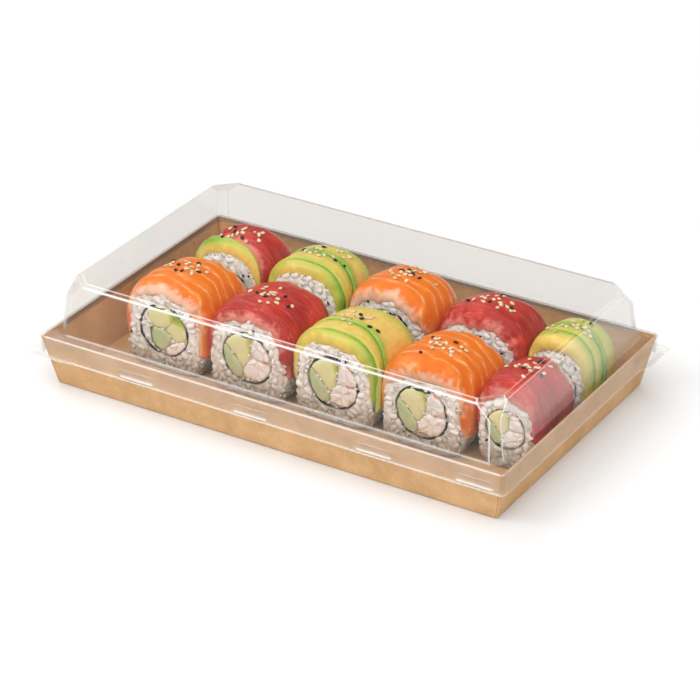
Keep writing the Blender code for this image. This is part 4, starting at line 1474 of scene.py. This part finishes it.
def lid_outline(inset, corner, straight):
    """Counter-clockwise outline; straight flattens the corner arcs into facets.

    Also returns, for each point, how near it is to a corner arc's end, where a facet folds.
    """
    points, folds = [], []
    share = np.linspace(0.0, 1.0, CORNER_POINTS + 1)[:, None]
    centres = np.array(CORNERS) * (HALF_X - inset - corner, HALF_Y - inset - corner)
    for turn, centre in enumerate(centres):
        angle = np.radians(90.0 * (turn + share))
        arc = np.hstack([np.cos(angle), np.sin(angle)])
        chord = arc[0] + (arc[-1] - arc[0]) * share
        points.append(centre + corner * (arc + (chord - arc) * straight))
        here, there = points[-1][-1], centres[(turn + 1) % 4] + corner * arc[-1]
        count = (LONG_POINTS, SHORT_POINTS)[turn % 2]
        points.append(here + (there - here) * np.arange(1, count)[:, None] / count)
        folds += [1.0] + [0.0] * (CORNER_POINTS - 1) + [1.0] + [0.0] * (count - 1)
    return np.concatenate(points), np.array(folds)


def tab_weight(x, y, inset):
    """1 round the two opposite corners where the lip flares into an opening tab."""
    weight = np.zeros(len(x))
    for sign in SIGNS:
        from_corner = np.maximum(HALF_X - inset - sign * x, HALF_Y - inset - sign * y)
        weight = np.maximum(weight, 1.0 - smoothstep(14.4, 20.0, from_corner))
    return weight


def snap_weight(x, y):
    """1 on the small ledges along the two long sides that snap under the tray's rim."""
    from_centre = np.min([np.abs(x - centre) for centre in SNAP_CENTRES], axis=0)
    return (1.0 - smoothstep(SNAP_WIDTH / 2 - 0.7, SNAP_WIDTH / 2, from_centre)) * (np.abs(y) > HALF_Y - 4.0)


def lid_ring(inset, z, corner, straight=0.0, glint_milk=0.0, tab=0.0, ribs=0.0, snap=0.0, snap_glint_milk=0.0):
    """One ring of the lid's outer face, and how much painted highlight and reflected haze (milky white) the
    sheet carries at each of its points.

    tab is how far the ring follows the opening tabs and ribs how high their grip lines are; snap is how
    far it is pushed out at the snaps. glint_milk and snap_glint_milk are how much painted highlight and haze
    the sheet carries, all round and there.
    """
    points, folds = lid_outline(inset, corner, straight)
    x, y = points.T.copy()
    half_x, half_y = HALF_X - inset, HALF_Y - inset
    on_long_side = (np.abs(y) > half_y - 0.2) & (np.abs(x) < half_x - corner + 0.5)
    # painted highlights are strongest on the long sides and weak at the left end
    painted_glint_milk = glint_milk * np.where(on_long_side, 1.0, 0.35) * np.where(x < corner - half_x + 1.0, 0.3, 1.0)
    # painted reflected haze on the walls, strongest on the right wall, and painted highlight lines along the
    # facets' folds, strongest at the front right corner
    if SHOULDER_Z + 0.3 < z < FACET_FOOT_Z + 5.0:
        painted_glint_milk = np.maximum(painted_glint_milk, np.where(x > half_x - 0.3, 0.11, 0.01))
    if SHOULDER_Z + 0.3 < z <= PANEL_EDGE_Z:
        fold_glint_milk = 0.62 if z > FACET_FOOT_Z - 1.0 else 0.55
        painted_glint_milk = np.maximum(painted_glint_milk, fold_glint_milk * folds * np.where((x > 0) & (y < 0), 1.0, 0.2))
    # the snaps' ledges and the tabs' grip lines carry painted highlights
    weight = snap_weight(x, y)
    y += np.sign(y) * snap * weight
    painted_glint_milk = np.maximum(painted_glint_milk, weight * snap_glint_milk)
    flare = tab * tab_weight(x, y, inset)
    ridge = 0.5 + 0.5 * np.cos((x + y) * math.tau / RIB_STEP)
    painted_glint_milk = np.maximum(painted_glint_milk, flare * (0.10 + 0.35 * ridge)) + ribs * 0.9 * ridge
    for values, half in ((x, half_x), (y, half_y)):
        values += np.where(np.abs(values) > half - 3.3, np.sign(values), 0.0) * TAB_OUT * flare
    return np.column_stack([x, y, z + TAB_RISE * flare + ribs * ridge]), painted_glint_milk


def wall_inset(z):
    """How far in the dome's wall is at a height."""
    return WALL_FOOT + DOME_DRAFT * (z - SHOULDER_Z)


# The snaps' section down the skirt: height, how far out, and how much painted highlight (milky white)
SNAP_ROWS = ((22.0, 0, 0), (20.6, 0, 0), (20.2, 0.02, 0.05), (19.9, 0.10, 0.26), (19.6, 0.18, 0.10),
             (18.6, 0.36, 0.10), (17.6, 0.56, 0.14), (17.0, 0.70, 0.50), (16.6, 0.78, 0.95),
             (16.3, 0.60, 0.85), (16.0, 0.20, 0.35), (15.7, 0, 0))


def lid_rows(top):
    """Rings from the middle of the top panel down to the lip, as arguments of lid_ring."""
    bend = wall_inset(WALL_TOP_Z)
    panel = bend + TOP_BEVEL
    # the flat panel and the bevel round it, with a painted inner highlight line at the panel's edge
    rows = [(panel + 45.0, top, 6.0, 1.0), (panel + 12.0, top, 7.6, 1.0), (panel + 1.2, top, 8.0, 1.0),
            (panel + 0.55, top, 8.0, 1.0), (panel + 0.30, top, 8.0, 1.0, 0.42),
            (panel, top - 0.08, 8.05, 1.0, 0.42), (panel - 0.25, top - 0.24, 8.1, 1.0)]
    # the bend into the wall, whose milky rows paint the bright highlight line along the top edge
    rows += [(bend + 0.75, top - 0.90, 8.5, 0.98, 0.02), (bend + 0.45, top - 1.10, 8.7, 0.97, 0.45),
             (bend + 0.18, top - 1.32, 8.8, 0.96, 0.90), (bend + 0.04, top - 1.62, 8.8, 0.95, 0.45),
             (wall_inset(47.6), 47.6, 8.3, 0.93, 0.02), (wall_inset(FACET_TOP_Z), FACET_TOP_Z, 8.1, 0.91)]
    # the wall, with facets at the corners that run out in rounded corners
    for share in (0.25, 0.5, 0.75, 0.93):
        z = FACET_TOP_Z + (FACET_FOOT_Z - FACET_TOP_Z) * share
        rows.append((wall_inset(z), z, 8.1 - 4.7 * share, 0.91))
    rows.append((wall_inset(LOWER_WALL_Z), LOWER_WALL_Z, 3.2, 0.9))
    for z in (40.0, 36.0, 32.0, 28.5, 26.2):
        rows.append((wall_inset(z), z, 3.2 + (LOWER_WALL_Z - z) / 17.0, 0.85))
    # the bend out on to the shoulder, the shoulder, and its edge, with painted highlight lines at the bends
    rows += [(WALL_FOOT + 0.02, 25.35, 4.3, 0, 0.04), (WALL_FOOT - 0.12, 24.95, 4.4, 0, 0.26),
             (WALL_FOOT - 0.42, 24.72, 4.6, 0, 0.26), (WALL_FOOT - 1.0, SHOULDER_Z, 4.8, 0, 0.06),
             (2.4, SHOULDER_Z, 3.2, 0, 0.05), (0.85, SHOULDER_Z, 2.3, 0, 0.08), (0.40, 24.58, 2.1, 0, 0.42),
             (0.12, 24.34, 2.0, 0, 0.42), (0.03, 23.8, 2.0, 0, 0.10)]
    # the skirt with its snaps and a faint painted reflected haze, and the lip that flares into the tabs, with
    # painted highlights along it
    for z, snap, snap_glint_milk in SNAP_ROWS:
        inset = 0.6 * (SHOULDER_Z - z) / (SHOULDER_Z - SKIRT_FOOT_Z)
        rows.append((inset, z, 2.0, 0, 0.08, 0, 0, snap, snap_glint_milk))
    rows += [(0.60, 15.45, 2.0, 0, 0.20), (0.50, 15.2, 2.0, 0, 0.30, 0.10),
             (0.25, 15.02, 2.0, 0, 0.35, 0.35, 0.12), (-0.02, 14.98, 2.1, 0, 0.20, 0.75, 0.24),
             (-0.20, 14.96, 2.2, 0, 0.30, 0.97, 0.24), (-0.24, 14.86, 2.2, 0, 0.60, 0.98, 0.1)]
    return rows


def lid_piece():
    """The clear lid: its outer face, and an inner face moved in along the sheet's normals."""
    low, high = cad_corners("lid")
    rings = [lid_ring(*row) for row in lid_rows(high[2])]
    outer = np.array([ring for ring, _ in rings])
    painted_glint_milk = np.array([amount for _, amount in rings])
    across = np.roll(outer, -1, axis=1) - np.roll(outer, 1, axis=1)
    ends = np.concatenate([outer[:1], outer, outer[-1:]])
    normal = np.cross(across, ends[2:] - ends[:-2])
    normal /= np.maximum(np.linalg.norm(normal, axis=2), 1e-9)[:, :, None]
    if ((outer - np.array([0.0, 0.0, 20.0])) * normal).sum() > 0:
        normal = -normal
    normal[:2] = (0.0, 0.0, -1.0)
    points = np.concatenate([outer, (outer + normal * SHEET)[::-1]]).reshape(-1, 3)
    loops, columns = 2 * len(rings), outer.shape[1]
    piece = make_piece("lid_sheet", np.clip(points, low, high), flipped(bar_faces(loops, columns)),
                       MATERIALS["clear_sheet"], ["lid"], smooth=40.0)
    # the inner face carries half the painted highlight and haze
    set_numbers(piece, "painted_glint_milk", np.concatenate([painted_glint_milk, painted_glint_milk[::-1] * 0.5]).ravel())


# ---------------------------------------------------------------- build

pale_seeds, black_seeds = [], []
for roll_name in TOPPINGS:
    roll = Roll(roll_name)
    rice_pieces(roll)
    nori_piece(roll)
    fillings(roll)
    slabs = avocado_topping(roll) if roll.topping == "avocado" else fish_topping(roll)
    if roll_name == "back1":
        slabs = slabs + back1_avocado(roll)
    sprinkle(roll, slabs, pale_seeds, black_seeds)
    rice_seeds(roll, black_seeds)
lay_seeds("sesame_pale", pale_seeds, MATERIALS["sesame_pale"])
lay_seeds("sesame_black", black_seeds, MATERIALS["sesame_black"])
tray_piece()
lid_piece()


# ---------------------------------------------------------------- floor, light and camera

FLOOR_SIZE = 12.0              # in metres
SKY_EDGES = (0.25, 0.95)       # how far towards its bright side the sky starts and stops to brighten


def add_object(name, data):
    """Object in the scene that isn't a piece."""
    made = bpy.data.objects.new(name, data)
    bpy.context.scene.collection.objects.link(made)
    return made


def point(thing, way):
    """Turn a light or camera to look along a direction."""
    thing.rotation_euler = Vector(way).to_track_quat("-Z", "Y").to_euler()


def add_floor():
    """White table under the tray, just low enough not to share its underside."""
    mesh = bpy.data.meshes.new("floor")
    half = FLOOR_SIZE / 2
    corners = [(-half, -half, 0), (half, -half, 0), (half, half, 0), (-half, half, 0)]
    mesh.from_pydata(corners, [], [(0, 1, 2, 3)])
    mesh.materials.append(floor_material())
    floor = add_object("floor", mesh)
    floor.location.z = -0.0002


def add_soft_box(place, size, power, aim):
    """Square area light."""
    light = bpy.data.lights.new("soft_box", "AREA")
    light.shape = "RECTANGLE"
    light.size, light.size_y = size, size
    light.energy = power
    lamp = add_object("soft_box", light)
    lamp.location = place
    point(lamp, Vector(aim) - Vector(place))


def add_world():
    """Soft sky, bright above and on the camera's side, dim at the back so that the lid's top stays clear."""
    world = bpy.data.worlds.new("studio")
    world.use_nodes = True
    tree = world.node_tree
    direction = tree.nodes.new("ShaderNodeTexCoord")
    towards = tree.nodes.new("ShaderNodeVectorMath")
    towards.operation = "DOT_PRODUCT"
    towards.inputs[1].default_value = Vector(SKY_FROM).normalized()
    ramp = tree.nodes.new("ShaderNodeMapRange")
    ramp.interpolation_type = "SMOOTHSTEP"
    for number, value in enumerate((*SKY_EDGES, SKY_DIM, SKY_BRIGHT), start=1):
        ramp.inputs[number].default_value = value
    background = tree.nodes["Background"]
    background.inputs["Color"].default_value = (1.0, 1.0, 1.0, 1.0)
    tree.links.new(direction.outputs["Generated"], towards.inputs[0])
    tree.links.new(towards.outputs["Value"], ramp.inputs[0])
    tree.links.new(ramp.outputs[0], background.inputs["Strength"])
    bpy.context.scene.world = world


def add_sun():
    """Wide sun, for soft shadows to the right and front."""
    sun = bpy.data.lights.new("key_sun", "SUN")
    sun.energy = SUN_STRENGTH
    sun.angle = math.radians(SUN_WIDTH)
    point(add_object("key_sun", sun), -Vector(SUN_FROM))


def add_camera():
    """Camera that looks at its target from a side, a height and a distance."""
    camera = bpy.data.cameras.new("camera")
    camera.lens = CAMERA_LENS
    camera.clip_start = 0.05
    holder = add_object("camera", camera)
    azimuth, elevation = math.radians(CAMERA_AZIMUTH), math.radians(CAMERA_ELEVATION)
    away = Vector((math.cos(elevation) * math.sin(azimuth), -math.cos(elevation) * math.cos(azimuth),
                   math.sin(elevation)))
    place = (Vector(CAMERA_TARGET) + away * CAMERA_DISTANCE) * MM
    turn = (-away).to_track_quat("-Z", "Y").to_matrix().to_4x4()
    tilt = Matrix.Rotation(math.radians(CAMERA_ROLL), 4, "Z")
    holder.matrix_world = Matrix.Translation(place) @ turn @ tilt
    bpy.context.scene.camera = holder


add_floor()
add_sun()
add_soft_box(place=(-0.46, -0.50, 0.75), size=0.50, power=2.6, aim=(0.0, 0.0, 0.02))
add_world()
add_camera()
bpy.context.scene.view_settings.view_transform = "Standard"
